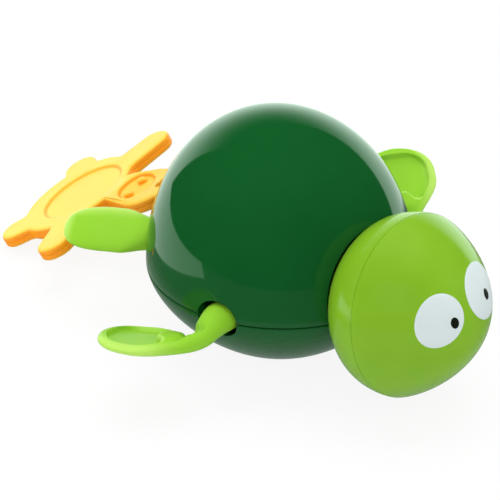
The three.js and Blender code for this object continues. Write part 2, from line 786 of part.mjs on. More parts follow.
const axlePinion = gearShape(pinionTeeth, axle, toIdler, axleBore);
addPart('axle_pinion', crossPlate(axlePinion, wheelFrom, wheelTo), gearWhite);
const idlerWheel = gearShape(idlerTeeth, idler, toIdler + Math.PI + halfTooth(idlerTeeth), idlerBore);
const idlerPinion = gearShape(pinionTeeth, idler, idlerToClutch, idlerBore);
const idlerGear = crossPlate(idlerWheel, wheelFrom, wheelTo)
  .add(crossPlate(idlerPinion, wheelTo - layerGap, clutchTo));
addPart('idler_gear', idlerGear, gearWhite);

// Clutch gear, free on the drum shaft, with the post that carries its pawl
const clutchShape = gearShape(clutchTeeth, drum, idlerToClutch + Math.PI + halfTooth(clutchTeeth), axleBore);
const pawlPost = new THREE.Vector2(drum.x - pawlPostReach, drum.y);
const postTop = ratchetFrom + ratchetWidth - layerGap;
const clutchGear = crossPlate(clutchShape, clutchFrom, clutchTo)
  .add(crossBar(pawlPostRadius, pawlPost, clutchTo - layerGap, postTop));
addPart('clutch_gear', clutchGear, gearWhite);

// The pawl is shown lifted clear of the ratchet's tips
const pawlTipRadius = ratchetTipRadius + 2 * shaftClearance + pawlArm;
const pawlTipAngle = Math.PI - radians(pawlLead);
const pawlTip = new THREE.Vector2(Math.cos(pawlTipAngle), Math.sin(pawlTipAngle));
pawlTip.multiplyScalar(pawlTipRadius).add(drum);
const pawlLength = pawlTip.distanceTo(pawlPost);
const pawlFrame = new THREE.Matrix4().makeRotationY(-heading(pawlPost, pawlTip));
const pawlFrom = ratchetFrom;
const pawlTo = postTop - shaftClearance;
const pawlWidth = pawlTo - pawlFrom;
pawlFrame.setPosition(pawlPost.x, (pawlFrom + pawlTo) / 2, pawlPost.y);
const pawl = block(vec(pawlLength / 2, 0, 0), vec(pawlLength, pawlWidth, 2 * pawlArm), pawlFrame)
  .add(crossBar(pawlEyeRadius, pawlPost, pawlFrom, pawlTo))
  .subtract(crossBar(pawlPostRadius + shaftClearance, pawlPost, pawlFrom - cutOverrun, pawlTo + cutOverrun));
addPart('clutch_pawl', pawl, bareSteel);

// Cord drum with its ratchet
function ratchetShape() {
  const shape = new THREE.Shape();
  const points = [];
  for (let tooth = 0; tooth < ratchetTeeth; tooth += 1) {
    for (const [shift, radius] of [[0, ratchetTipRadius], [ratchetUndercut, ratchetRootRadius]]) {
      const angle = ((tooth + shift) / ratchetTeeth) * 2 * Math.PI;
      points.push(new THREE.Vector2(drum.x + radius * Math.cos(angle), drum.y + radius * Math.sin(angle)));
    }
  }
  return shape.setFromPoints(points);
}

const coreRadius = windRadius - cordRadius - cordGap;
const cordDrum = crossBar(coreRadius, drum, drumFrom, drumTo)
  .add(crossBar(drumFlangeRadius, drum, drumFrom, grooveFrom))
  .add(crossBar(drumFlangeRadius, drum, grooveTo, drumTo))
  .add(crossPlate(ratchetShape(), ratchetFrom, drumFrom + drumFlange / 2))
  .subtract(crossBar(axleBore, drum, ratchetFrom - cutOverrun, drumTo + cutOverrun));
addPart('cord_drum', cordDrum, gearWhite);

// The cord lies on the drum in one layer, and leaves it at the top, straight back to the tail
class Winding extends THREE.Curve {
  getPoint(share, target = new THREE.Vector3()) {
    const turn = (1 - share) * cordTurns * 2 * Math.PI;
    const y = (1 - share) * cordTurns * cordPitch;
    const angle = Math.PI / 2 - turn;
    return target.set(drum.x + windRadius * Math.cos(angle), y, drum.y + windRadius * Math.sin(angle));
  }
}

const winding = new Winding();
const windSteps = cordTurns * cordLoopSteps;
const windRings = [];
for (let step = 0; step <= windSteps; step += 1) {
  const centre = winding.getPoint(step / windSteps);
  const outward = vec(centre.x - drum.x, 0, centre.z - drum.y).normalize();
  const ring = [];
  for (let k = 0; k < cordLoopSides; k += 1) {
    const turn = (k / cordLoopSides) * 2 * Math.PI;
    const point = along(centre, outward, cordRadius * Math.cos(turn));
    ring.push(point.addScaledVector(unitY, cordRadius * Math.sin(turn)));
  }
  windRings.push(ring);
}
addPart('cord_winding', loft(windRings, middle(windRings[0]), middle(windRings[windSteps])), cordWhite);
let leastGap = Infinity;
for (let step = 0; step + cordLoopSteps / 2 <= windSteps; step += 1) {
  for (let other = step + cordLoopSteps / 2; other <= windSteps; other += 1) {
    const apart = winding.getPoint(step / windSteps).distanceTo(winding.getPoint(other / windSteps));
    leastGap = Math.min(leastGap, apart - 2 * cordRadius);
  }
}
console.log(`cord winding: least gap between turns ${leastGap.toFixed(2)} mm`);

// Shafts and bushes
addPart('drum_shaft', crossBar(axleRadius, drum, rightOuter, leftOuter), bareSteel);
addPart('idler_shaft', crossBar(idlerShaftRadius, idler, rightOuter, leftOuter), bareSteel);
addPart('front_axle', crossBar(axleRadius, axle, -axleEnd, axleEnd), bareSteel);
const bushRadius = axleBore + bushWall;
const bushes = {
  left: [leftInner - layerGap, leftInner - layerGap + bushLength],
  right: [rightInner - bushLength, rightInner],
};
for (const [name, [from, to]] of Object.entries(bushes)) {
  const bushBore = crossBar(axleBore, axle, from - cutOverrun, to + cutOverrun);
  const bush = crossBar(bushRadius, axle, from, to).subtract(bushBore);
  addPart(`axle_bush_${name}`, bush, brass);
}

// Mainspring, a spiral strip between the drum shaft and the barrel wall
const springShape = new THREE.Shape();
const springEdge = (offset) => {
  const points = [];
  for (let step = 0; step <= springTurns * springSteps; step += 1) {
    const share = step / (springTurns * springSteps);
    const radius = mix(springInnerRadius, springOuterRadius, share) + offset;
    const angle = share * springTurns * 2 * Math.PI;
    points.push(new THREE.Vector2(drum.x + radius * Math.cos(angle), drum.y + radius * Math.sin(angle)));
  }
  return points;
};
springShape.setFromPoints([...springEdge(springStrip), ...springEdge(0).reverse()]);
addPart('mainspring', crossPlate(springShape, springFrom, springTo), springSteel);
const barrel = crossBar(barrelRadius, drum, barrelFrom, leftInner - postGap)
  .subtract(crossBar(barrelRadius - barrelWall, drum, barrelFrom + barrelWall, leftInner + cutOverrun))
  .subtract(crossBar(springInnerRadius, drum, barrelFrom - cutOverrun, leftInner + cutOverrun));
addPart('spring_barrel', barrel, boxGrey);

// Gearbox: two trays whose outline wraps the three shafts
function wrapOutline(grow) {
  const circles = [
    [drum, pitchRadius(clutchTeeth) + addendum * gearModule + boxRun],
    [idler, pitchRadius(idlerTeeth) + addendum * gearModule + boxRun],
    [axle, pitchRadius(pinionTeeth) + addendum * gearModule + boxRun],
  ];
  const points = [];
  for (const [centre, radius] of circles) {
    for (let k = 0; k < boxSides; k += 1) {
      const turn = (k / boxSides) * 2 * Math.PI;
      points.push([centre.x + (radius + grow) * Math.cos(turn), centre.y + (radius + grow) * Math.sin(turn)]);
    }
  }
  points.sort((a, b) => a[0] - b[0] || a[1] - b[1]);
  const bends = (o, a, b) => (a[0] - o[0]) * (b[1] - o[1]) - (a[1] - o[1]) * (b[0] - o[0]);
  const half = (list) => {
    const chain = [];
    for (const point of list) {
      while (chain.length > 1 && bends(chain[chain.length - 2], chain[chain.length - 1], point) <= 0) {
        chain.pop();
      }
      chain.push(point);
    }
    return chain.slice(0, -1);
  };
  const outline = [...half(points), ...half([...points].reverse())];
  return new THREE.Shape(outline.map(([x, z]) => new THREE.Vector2(x, z)));
}

const splitY = (rightInner + leftInner) / 2;
const boxTrays = {
  left: {
    from: splitY + boxSplitGap / 2,
    to: leftOuter,
    cutFrom: splitY - boxWall,
    cutTo: leftInner,
    outer: leftOuter,
    hand: 1,
  },
  right: {
    from: rightOuter,
    to: splitY - boxSplitGap / 2,
    cutFrom: rightInner,
    cutTo: splitY + boxWall,
    outer: rightOuter,
    hand: -1,
  },
};
const lugTop = lugHeight + lugThickness;
for (const [name, tray] of Object.entries(boxTrays)) {
  let box = crossPlate(wrapOutline(boxWall), tray.from, tray.to)
    .subtract(crossPlate(wrapOutline(0), tray.cutFrom, tray.cutTo))
    .subtract(crossBar(axleBore, drum, rightOuter - cutOverrun, leftOuter + cutOverrun))
    .subtract(crossBar(idlerBore, idler, rightOuter - cutOverrun, leftOuter + cutOverrun))
    .subtract(crossBar(bushRadius + shaftClearance, axle, rightOuter - cutOverrun, leftOuter + cutOverrun))
    .subtract(bar(cordRadius + 2 * cordGap, vec(drumX, 0, cordHeight), vec(-shellHalfLength, 0, cordHeight)));
  for (const [end, x] of [['front', lugFrontX], ['rear', lugRearX]]) {
    const lugY = tray.outer + (tray.hand * lugReach) / 2;
    const rooted = tray.outer + (tray.hand * (lugReach - boxWall)) / 2;
    const at = (z) => vec(x, lugY, z);
    const lugSize = vec(lugLength, lugReach + boxWall, lugThickness);
    const lug = block(vec(x, rooted, lugHeight + lugThickness / 2), lugSize);
    box = box.add(lug.subtract(crossPlate(wrapOutline(0), rightInner, leftInner)))
      .subtract(bar(screwBore, at(lugHeight - cutOverrun), at(lugTop + cutOverrun)));
    const postTopZ = lugHeight - postGap;
    lowerShell = lowerShell.add(bar(postRadius, at(0), at(postTopZ)).intersect(weldBowl))
      .subtract(bar(screwBore, at(postTopZ - screwGrip - cutOverrun), at(postTopZ + cutOverrun)));
    const head = bar(screwHeadRadius, at(lugTop + postGap), at(lugTop + postGap + screwHeadHeight));
    const shank = bar(screwRadius, at(postTopZ - screwGrip), at(lugTop + screwHeadHeight / 2));
    addPart(`gearbox_screw_${end}_${name}`, head.add(shank), bareSteel);
  }
  addPart(`gearbox_${name}`, box, boxGrey);
}

// Cord bushing in the tail of the upper shell
const tailShare = Math.sqrt(1 - (cordLift / domeHeight) ** 2);
const tailX = -shellHalfLength * tailShare - apexShift * (cordLift / domeHeight) ** 2;
const tailAt = (x) => vec(x, 0, cordHeight);
const bushingBore = bushingRadius + bushingHoleGap;
const bushingHole = bar(bushingBore, tailAt(tailX - shellWall), tailAt(tailX + 2 * shellWall));
upperShell = upperShell.subtract(bushingHole);
const cordBore = cordRadius + 2 * cordGap;
const cordBushing = bar(bushingRadius, tailAt(tailX - bushingFlangeThickness), tailAt(tailX + bushingInside))
  .add(bar(bushingFlangeRadius, tailAt(tailX - bushingFlangeThickness - cordGap), tailAt(tailX - cordGap)))
  .subtract(bar(cordBore, tailAt(tailX - 2 * bushingInside), tailAt(tailX + 2 * bushingInside)));
addPart('cord_bushing', cordBushing, tagYellow);
addPart('upper_shell', upperShell, shellGreen);
addPart('lower_shell', lowerShell, shellGreen);

// Pull tag: its frame has the tag's own axis, its left side and its upper face
const tagAxis = vec(
  Math.cos(radians(tagPitch)) * Math.cos(radians(tagYaw)),
  Math.cos(radians(tagPitch)) * Math.sin(radians(tagYaw)),
  Math.sin(radians(tagPitch)),
);
const levelSide = vec(-Math.sin(radians(tagYaw)), Math.cos(radians(tagYaw)), 0);
const levelFace = tagAxis.clone().cross(levelSide);
const tagSide = levelSide.clone().multiplyScalar(Math.cos(radians(tagRoll)));
tagSide.addScaledVector(levelFace, Math.sin(radians(tagRoll)));
const tagFace = tagAxis.clone().cross(tagSide);
const tagNose = vec(-shellHalfLength - tagNoseGap, 0, seamHeight + tagNoseRise);
const tagFrame = new THREE.Matrix4().makeBasis(tagAxis, tagSide, tagFace).setPosition(tagNose);
tagGroup.applyMatrix4(tagFrame);
const tagLevel = (depth) => new THREE.Matrix4().makeTranslation(0, 0, depth);

function oval(a, b, halfLength, halfWidth, steps) {
  const shape = new THREE.Shape();
  shape.absellipse(a, b, halfLength, halfWidth, 0, 2 * Math.PI, false, 0);
  return new THREE.Shape(shape.getPoints(steps).slice(0, -1));
}

function limb(leg, hand) {
  const angle = Math.atan2(hand * (leg.tipB - leg.rootB), leg.tipA - leg.rootA);
  const shape = new THREE.Shape();
  shape.absarc(leg.tipA, hand * leg.tipB, leg.radius, angle - Math.PI / 2, angle + Math.PI / 2, false);
  shape.absarc(leg.rootA, hand * leg.rootB, leg.radius, angle + Math.PI / 2, angle + 1.5 * Math.PI, false);
  return shape;
}

const tagPlate = (shape) => plate(shape, tagThickness, tagLevel(-tagThickness));
const tagPocket = (shape, depth) => plate(shape, depth + cutOverrun, tagLevel(-depth));
const tagNeck = { rootA: tagBodyCentre, rootB: 0, tipA: tagHeadCentre, tipB: 0, radius: tagNeckHalfWidth };
let pullTag = tagPlate(oval(tagBodyCentre, 0, tagBodyHalfLength, tagBodyHalfWidth, tagSteps.body))
  .add(tagPlate(oval(tagHeadCentre, 0, tagHeadHalfLength, tagHeadHalfWidth, tagSteps.head)))
  .add(tagPlate(limb(tagNeck, 1)));
for (const hand of [1, -1]) {
  pullTag = pullTag.add(tagPlate(limb(tagFrontLeg, hand))).add(tagPlate(limb(tagRearLeg, hand)));
}

// Sunk ovals on both faces of its back, and a sunk face with two raised eyes
const tagBack = oval(tagBackCentre, 0, tagBackHalfLength, tagBackHalfWidth, tagSteps.body);
const tagUnderBack = plate(tagBack, tagBackDepth + cutOverrun, tagLevel(-tagThickness - cutOverrun));
pullTag = pullTag.subtract(tagPocket(tagBack, tagBackDepth)).subtract(tagUnderBack);
const tagFaceOval = oval(tagFaceCentre, 0, tagFaceHalfLength, tagFaceHalfWidth, tagSteps.head);
let tagFacePocket = tagPocket(tagFaceOval, tagFaceDepth);
for (const hand of [1, -1]) {
  const eye = oval(tagEyeCentre, hand * tagEyeSpread, tagEyeRadius, tagEyeRadius, tagSteps.eye);
  tagFacePocket = tagFacePocket.subtract(tagPocket(eye, 2 * tagFaceDepth));
}
const tagHole = oval(-tagHoleInset, 0, tagHoleRadius, tagHoleRadius, tagSteps.eye);
const tagHoleBar = plate(tagHole, 2 * tagThickness, tagLevel(-1.5 * tagThickness));
pullTag = pullTag.subtract(tagFacePocket).subtract(tagHoleBar);
addPart('pull_tag', pullTag, tagYellow, tagGroup);

// The cord's loop through the tag's hole, round its nose, and the knot in front of it
const loopAway = cordRadius + 2 * cordGap;
const loopBack = tagHoleInset - tagHoleRadius + loopAway;
const loopHalfLength = (loopBack + loopAway) / 2;
const loopHalfHeight = tagThickness / 2 + loopAway;
const loopCentre = loopHalfLength - loopBack;
const loopSteps = cordLoopSteps;
const loopRings = [];
for (let step = 0; step < loopSteps; step += 1) {
  const turn = (step / loopSteps) * 2 * Math.PI;
  const square = (value) => Math.sign(value) * Math.abs(value) ** loopRoundness;
  const a = loopCentre + loopHalfLength * square(Math.cos(turn));
  const height = -tagThickness / 2 + loopHalfHeight * square(Math.sin(turn));
  const away = vec(Math.cos(turn), 0, Math.sin(turn));
  const ring = [];
  for (let k = 0; k < cordLoopSides; k += 1) {
    const around = (k / cordLoopSides) * 2 * Math.PI;
    const point = vec(a, cordRadius * Math.sin(around), height);
    point.addScaledVector(away, cordRadius * Math.cos(around));
    ring.push(point.applyMatrix4(tagFrame));
  }
  loopRings.push(ring);
}

function closedLoop(rings) {
  const count = rings[0].length;
  const triangles = [];
  rings.forEach((ring, row) => {
    const low = row * count;
    const high = ((row + 1) % rings.length) * count;
    for (let k = 0; k < count; k += 1) {
      const next = (k + 1) % count;
      triangles.push([low + k, low + next, high + next]);
      triangles.push([low + k, high + next, high + k]);
    }
  });
  return closedSolid(rings.flat(), triangles);
}

const loopFront = vec(loopCentre + loopHalfLength, 0, -tagThickness / 2).applyMatrix4(tagFrame);
const knotCentre = vec(loopFront.x + knotSink, 0, cordHeight);
const knotBall = new THREE.SphereGeometry(knotRadius, knotSides, knotRows);
knotBall.translate(knotCentre.x, knotCentre.y, knotCentre.z);
addPart('cord_loop', closedLoop(loopRings).add(solid(knotBall)), cordWhite);

// The straight cord from the drum through the bushing to the knot
const cordEnd = knotCentre.x + knotRadius + cordGap;
const pullCord = bar(cordRadius, tailAt(drumX - cordGap - cordRadius), tailAt(cordEnd), cordSides);
addPart('pull_cord', pullCord, cordWhite);

export default group;
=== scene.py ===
import math
import bpy
from mathutils import Matrix, Vector


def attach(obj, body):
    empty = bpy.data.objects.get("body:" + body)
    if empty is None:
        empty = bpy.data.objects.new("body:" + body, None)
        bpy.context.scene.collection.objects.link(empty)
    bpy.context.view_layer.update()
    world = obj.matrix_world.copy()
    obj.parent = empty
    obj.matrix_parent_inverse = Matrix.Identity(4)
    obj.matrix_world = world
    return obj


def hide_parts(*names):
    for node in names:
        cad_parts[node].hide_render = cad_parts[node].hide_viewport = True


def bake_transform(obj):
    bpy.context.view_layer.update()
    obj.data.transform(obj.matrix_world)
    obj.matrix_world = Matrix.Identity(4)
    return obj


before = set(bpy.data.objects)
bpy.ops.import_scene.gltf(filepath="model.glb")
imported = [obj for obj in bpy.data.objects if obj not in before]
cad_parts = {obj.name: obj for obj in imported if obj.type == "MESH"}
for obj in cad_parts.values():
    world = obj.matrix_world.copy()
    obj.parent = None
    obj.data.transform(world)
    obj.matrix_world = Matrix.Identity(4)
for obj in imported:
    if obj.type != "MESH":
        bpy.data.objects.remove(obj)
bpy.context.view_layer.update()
scene = bpy.context.scene
scene.view_settings.view_transform = "Standard"
mm = 0.001
print("frame loaded:", len(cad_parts), "nodes")


def rgb(red, green, blue):  # screen colour to linear
    linear = []
    for value in (red, green, blue):
        share = value / 255
        linear.append(share / 12.92 if share <= 0.04045 else ((share + 0.055) / 1.055) ** 2.4)
    return (*linear, 1.0)


def mix(a, b, share):
    return a + (b - a) * share


def smooth(low, high, value):
    share = min(max((value - low) / (high - low), 0.0), 1.0)
    return share * share * (3 - 2 * share)


# camera, floor card and light

cameraSet = {
    "place": (0.3105, -0.3234, 0.2911),
    "right": (0.7071, 0.7071, 0.0),
    "up": (-0.3561, 0.3561, 0.8639),
    "back": (0.6109, -0.6109, 0.5036),
    "lens": 122.6,
}
lens = bpy.data.cameras.new("photoCamera")
lens.lens = cameraSet["lens"]
lens.sensor_width = 36
lens.clip_start = 0.01
camera = bpy.data.objects.new("photoCamera", lens)
scene.collection.objects.link(camera)
turned = Matrix((cameraSet["right"], cameraSet["up"], cameraSet["back"])).transposed()
camera.matrix_world = Matrix.Translation(cameraSet["place"]) @ turned.to_4x4()
scene.camera = camera


def startClean():
    if bpy.context.object and bpy.context.object.mode != "OBJECT":
        bpy.ops.object.mode_set(mode="OBJECT")
    bpy.ops.object.select_all(action="DESELECT")


def pick(piece):
    startClean()
    piece.select_set(True)
    bpy.context.view_layer.objects.active = piece


def node(tree, kind, x, y, **settings):
    made = tree.nodes.new(kind)
    made.location = (x, y)
    for key, value in settings.items():
        setattr(made, key, value)
    return made


def calc(tree, operation, first, second):  # one sum on two sockets or numbers
    step = node(tree, "ShaderNodeMath", 0, -300, operation=operation)
    for socket, value in zip(step.inputs, (first, second)):
        if isinstance(value, float):
            socket.default_value = value
        else:
            tree.links.new(value, socket)
    return step.outputs[0]


def fadeOf(tree, source, low, high, least=0.0, most=1.0):
    fade = node(tree, "ShaderNodeMapRange", -500, -300, interpolation_type="SMOOTHSTEP")
    for key, value in (("From Min", low), ("From Max", high), ("To Min", least), ("To Max", most)):
        fade.inputs[key].default_value = value
    tree.links.new(source, fade.inputs["Value"])
    return fade.outputs[0]


def fadeAlong(tree, source, way, low, high):  # fade of a place or direction along a way
    along = node(tree, "ShaderNodeVectorMath", -700, -300, operation="DOT_PRODUCT")
    along.inputs[1].default_value = way
    tree.links.new(source, along.inputs[0])
    return fadeOf(tree, along.outputs["Value"], low, high)


floorSet = {"left": 1.20, "right": 0.60, "front": 0.50, "behind": 0.90, "shadowShare": 0.11, "paper": 0.92,
            "tail": (-0.977, -0.212, 0.0), "tailEdge": 0.1225, "side": (-0.9065, 0.427, 0.0), "sideEdge": -0.0458,
            "backEdge": 0.12, "soft": 0.004, "backSoft": 0.02, "near": 0.22, "nearReach": 0.07, "farReach": 0.105,
            "far": 0.04}
worldSet = {"fill": 0.55, "behind": 1.55, "dark": 0.03, "tint": (0.82, 1.0, 0.88, 1), "low": 0.05, "high": 0.75,
            "leftEdge": (0.0, 0.987, 0.159), "rightEdge": (-0.779, 0.165, -0.603), "soft": 0.05}


def makeFloor():
    startClean()
    bpy.ops.mesh.primitive_plane_add(size=1, location=(0, 0, 0))
    floor = bpy.context.object
    floor.name = "floorCard"
    across = Vector(cameraSet["right"])
    away = Vector((-across.y, across.x, 0))
    for corner in floor.data.vertices:
        sideways = floorSet["right"] if corner.co.x > 0 else -floorSet["left"]
        depth = floorSet["behind"] if corner.co.y > 0 else -floorSet["front"]
        corner.co = across * sideways + away * depth
    card = bpy.data.materials.new("whiteCard")
    card.use_nodes = True
    tree = card.node_tree
    tree.nodes.clear()
    out = node(tree, "ShaderNodeOutputMaterial", 600, 0)
    seen = node(tree, "ShaderNodeMixShader", 400, 0)
    lit = node(tree, "ShaderNodeMixShader", 200, -80)
    paper = node(tree, "ShaderNodeBsdfDiffuse", 0, -60)
    paper.inputs["Color"].default_value = (floorSet["paper"], floorSet["paper"], floorSet["paper"], 1)
    glow = node(tree, "ShaderNodeEmission", 0, -200)
    lit.inputs[0].default_value = 1 - floorSet["shadowShare"]
    path = node(tree, "ShaderNodeLightPath", 0, 320)
    byCamera = path.outputs["Is Camera Ray"]
    anySeen = calc(tree, "MAXIMUM", byCamera, path.outputs["Is Glossy Ray"])
    anySeen = calc(tree, "MAXIMUM", anySeen, path.outputs["Is Transmission Ray"])
    where = node(tree, "ShaderNodeNewGeometry", -900, -300).outputs["Position"]
    fades = []  # what a glossy ray meets: white past the tail and behind, dim near the toy, dark in front
    for way, edge, soft in ((floorSet["tail"], floorSet["tailEdge"], floorSet["soft"]),
                            (floorSet["side"], floorSet["sideEdge"], floorSet["soft"]),
                            (away, floorSet["backEdge"], floorSet["backSoft"])):
        fades.append(fadeAlong(tree, where, way, edge - soft, edge + soft))
    reach = node(tree, "ShaderNodeVectorMath", -700, -500, operation="LENGTH")
    tree.links.new(where, reach.inputs[0])
    nearToy = fadeOf(tree, reach.outputs["Value"], floorSet["farReach"], floorSet["nearReach"],
                     floorSet["far"], floorSet["near"])
    level = calc(tree, "MAXIMUM", calc(tree, "MULTIPLY", fades[0], fades[1]), fades[2])
    level = calc(tree, "MULTIPLY", calc(tree, "MAXIMUM", level, nearToy), worldSet["behind"])
    chosen = node(tree, "ShaderNodeMix", 120, -420, data_type="FLOAT")
    chosen.inputs[3].default_value = 1.0
    tinted = node(tree, "ShaderNodeMix", 120, -620, data_type="RGBA")
    tinted.inputs[6].default_value = worldSet["tint"]
    tinted.inputs[7].default_value = (1, 1, 1, 1)
    for start, end in ((byCamera, chosen.inputs[0]), (byCamera, tinted.inputs[0]), (level, chosen.inputs[2]),
                       (chosen.outputs[0], glow.inputs["Strength"]), (tinted.outputs[2], glow.inputs["Color"]),
                       (paper.outputs[0], lit.inputs[1]), (glow.outputs[0], lit.inputs[2]),
                       (anySeen, seen.inputs[0]), (paper.outputs[0], seen.inputs[1]),
                       (lit.outputs[0], seen.inputs[2]), (seen.outputs[0], out.inputs["Surface"])):
        tree.links.new(start, end)
    floor.data.materials.append(card)


def makeWorld():
    world = bpy.data.worlds.new("studio")
    world.use_nodes = True
    scene.world = world
    tree = world.node_tree
    tree.nodes.clear()
    out = node(tree, "ShaderNodeOutputWorld", 900, 0)
    seen = node(tree, "ShaderNodeMixShader", 700, 0)
    other = node(tree, "ShaderNodeMixShader", 500, -120)
    white = node(tree, "ShaderNodeBackground", 500, 160)
    fill = node(tree, "ShaderNodeBackground", 300, -40)
    fill.inputs["Strength"].default_value = worldSet["fill"]
    white.inputs["Color"].default_value = (1, 1, 1, 1)
    fill.inputs["Color"].default_value = (1, 1, 1, 1)
    mirrored = node(tree, "ShaderNodeBackground", 300, -200)
    mirrored.inputs["Color"].default_value = worldSet["tint"]
    where = node(tree, "ShaderNodeTexCoord", -900, -200).outputs["Generated"]
    parts = node(tree, "ShaderNodeSeparateXYZ", -700, -500)
    tree.links.new(where, parts.inputs[0])
    level = fadeOf(tree, parts.outputs["Z"], worldSet["high"], worldSet["low"], 0.0, worldSet["behind"])
    for edge in (worldSet["leftEdge"], worldSet["rightEdge"]):  # a white backdrop with two clear side edges
        level = calc(tree, "MULTIPLY", level, fadeAlong(tree, where, edge, 0.0, worldSet["soft"]))
    level = calc(tree, "MAXIMUM", level, worldSet["dark"])
    path = node(tree, "ShaderNodeLightPath", 100, 320)
    through = calc(tree, "MAXIMUM", path.outputs["Is Camera Ray"], path.outputs["Is Transmission Ray"])
    for start, end in ((level, mirrored.inputs["Strength"]), (path.outputs["Is Glossy Ray"], other.inputs[0]),
                       (fill.outputs[0], other.inputs[1]), (mirrored.outputs[0], other.inputs[2]),
                       (through, seen.inputs[0]), (other.outputs[0], seen.inputs[1]),
                       (white.outputs[0], seen.inputs[2]), (seen.outputs[0], out.inputs["Surface"])):
        tree.links.new(start, end)


lampAim = Vector((0, 0, 0.03))
lampSet = [
    # name, place, width, height, watts
    ("topSoftbox", (-0.10, 0.10, 0.75), 0.70, 0.70, 3.4),
    ("leftSoftbox", (-0.42, -0.40, 0.30), 0.34, 0.34, 0.9),
    ("rightSoftbox", (0.50, 0.42, 0.35), 0.40, 0.50, 0.9),
    ("frontSoftbox", (0.45, -0.55, 0.55), 0.50, 0.50, 1.6),
]


def makeLamps():
    for name, place, width, height, watts in lampSet:
        lamp = bpy.data.lights.new(name, "AREA")
        lamp.shape = "RECTANGLE"
        lamp.size = width
        lamp.size_y = height
        lamp.energy = watts
        holder = bpy.data.objects.new(name, lamp)
        scene.collection.objects.link(holder)
        holder.location = place
        holder.rotation_euler = (lampAim - Vector(place)).to_track_quat("-Z", "Y").to_euler()
        holder.visible_glossy = False  # the backdrop alone is mirrored


makeFloor()
makeWorld()
makeLamps()
print("camera, floor card and lamps ready")


# modelling helpers

def spunProfile(name, profile, steps=96):  # profile of radius and height in mm, closed round Z
    startClean()
    bpy.ops.mesh.primitive_plane_add(size=mm, location=(0, 0, 0))
    piece = bpy.context.object
    piece.name = name
    bpy.ops.object.mode_set(mode="EDIT")
    bpy.ops.mesh.select_all(action="SELECT")
    bpy.ops.mesh.merge(type="CENTER")
    last = profile[0]
    bpy.ops.transform.translate(value=(last[0] * mm, 0, last[1] * mm))
    for radius, height in profile[1:]:
        move = ((radius - last[0]) * mm, 0, (height - last[1]) * mm)
        bpy.ops.mesh.extrude_region_move(TRANSFORM_OT_translate={"value": move})
        last = (radius, height)
    bpy.ops.mesh.select_all(action="SELECT")
    bpy.ops.mesh.spin(steps=steps, angle=2 * math.pi, center=(0, 0, 0), axis=(0, 0, 1))
    bpy.ops.mesh.select_all(action="SELECT")
    bpy.ops.mesh.remove_doubles(threshold=0.002 * mm)
    bpy.ops.mesh.normals_make_consistent(inside=False)
    bpy.ops.object.mode_set(mode="OBJECT")
    return piece


def place(piece, matrix):  # turned into place, then the place goes into the mesh
    pick(piece)
    piece.matrix_world = matrix
    bpy.ops.object.transform_apply(location=True, rotation=True, scale=True)


def lofted(name, rings, looped=False, shares=None):  # rings of points in mm, joined in order
    startClean()
    rows = len(rings) if looped else len(rings) - 1
    sides = len(rings[0])
    bpy.ops.mesh.primitive_grid_add(x_subdivisions=rows, y_subdivisions=sides, size=2)
    piece = bpy.context.object
    piece.name = name
    tint = piece.data.attributes.new("paintedShadeSheenShare", "FLOAT", "POINT") if shares else None
    for index, corner in enumerate(piece.data.vertices):
        row = round((corner.co.x + 1) / 2 * rows) % len(rings)
        column = round((corner.co.y + 1) / 2 * sides) % sides
        corner.co = Vector(rings[row][column]) * mm
        if shares:
            tint.data[index].value = shares[row][column]
    bpy.ops.object.mode_set(mode="EDIT")
    bpy.ops.mesh.select_all(action="SELECT")
    bpy.ops.mesh.remove_doubles(threshold=0.002 * mm)
    if not looped:
        bpy.ops.mesh.select_all(action="DESELECT")
        bpy.ops.mesh.select_mode(type="EDGE")
        bpy.ops.mesh.select_non_manifold(extend=False, use_wire=False, use_boundary=True,
                                         use_multi_face=False, use_non_contiguous=False, use_verts=False)
        bpy.ops.mesh.fill_holes(sides=0)
        bpy.ops.mesh.select_mode(type="VERT")
        bpy.ops.mesh.select_all(action="SELECT")
    bpy.ops.mesh.normals_make_consistent(inside=False)
    bpy.ops.object.mode_set(mode="OBJECT")
    return piece


def rod(name, radius, start, end, sides=64):  # plain round cutter or boss, mm
    low, high = Vector(start) * mm, Vector(end) * mm
    startClean()
    bpy.ops.mesh.primitive_cylinder_add(vertices=sides, radius=radius * mm, depth=(high - low).length,
                                        location=(low + high) / 2,
                                        rotation=(high - low).to_track_quat("Z", "Y").to_euler())
    piece = bpy.context.object
    piece.name = name
    bpy.ops.object.transform_apply(location=True, rotation=True, scale=True)
    return piece


def combine(piece, other, operation="DIFFERENCE", keep=False):
    pick(piece)
    step = piece.modifiers.new("combine", "BOOLEAN")
    step.operation = operation
    step.solver = "EXACT"
    step.object = other
    bpy.ops.object.modifier_apply(modifier=step.name)
    if not keep:
        bpy.data.objects.remove(other, do_unlink=True)


def soften(piece, degrees=35):
    pick(piece)
    bpy.ops.object.shade_smooth_by_angle(angle=math.radians(degrees))


def finishPiece(piece, material, body, slot, *nodes):
    piece.data.materials.clear()
    piece.data.materials.append(material)
    if body:
        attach(piece, body)
    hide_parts(*nodes)


# materials

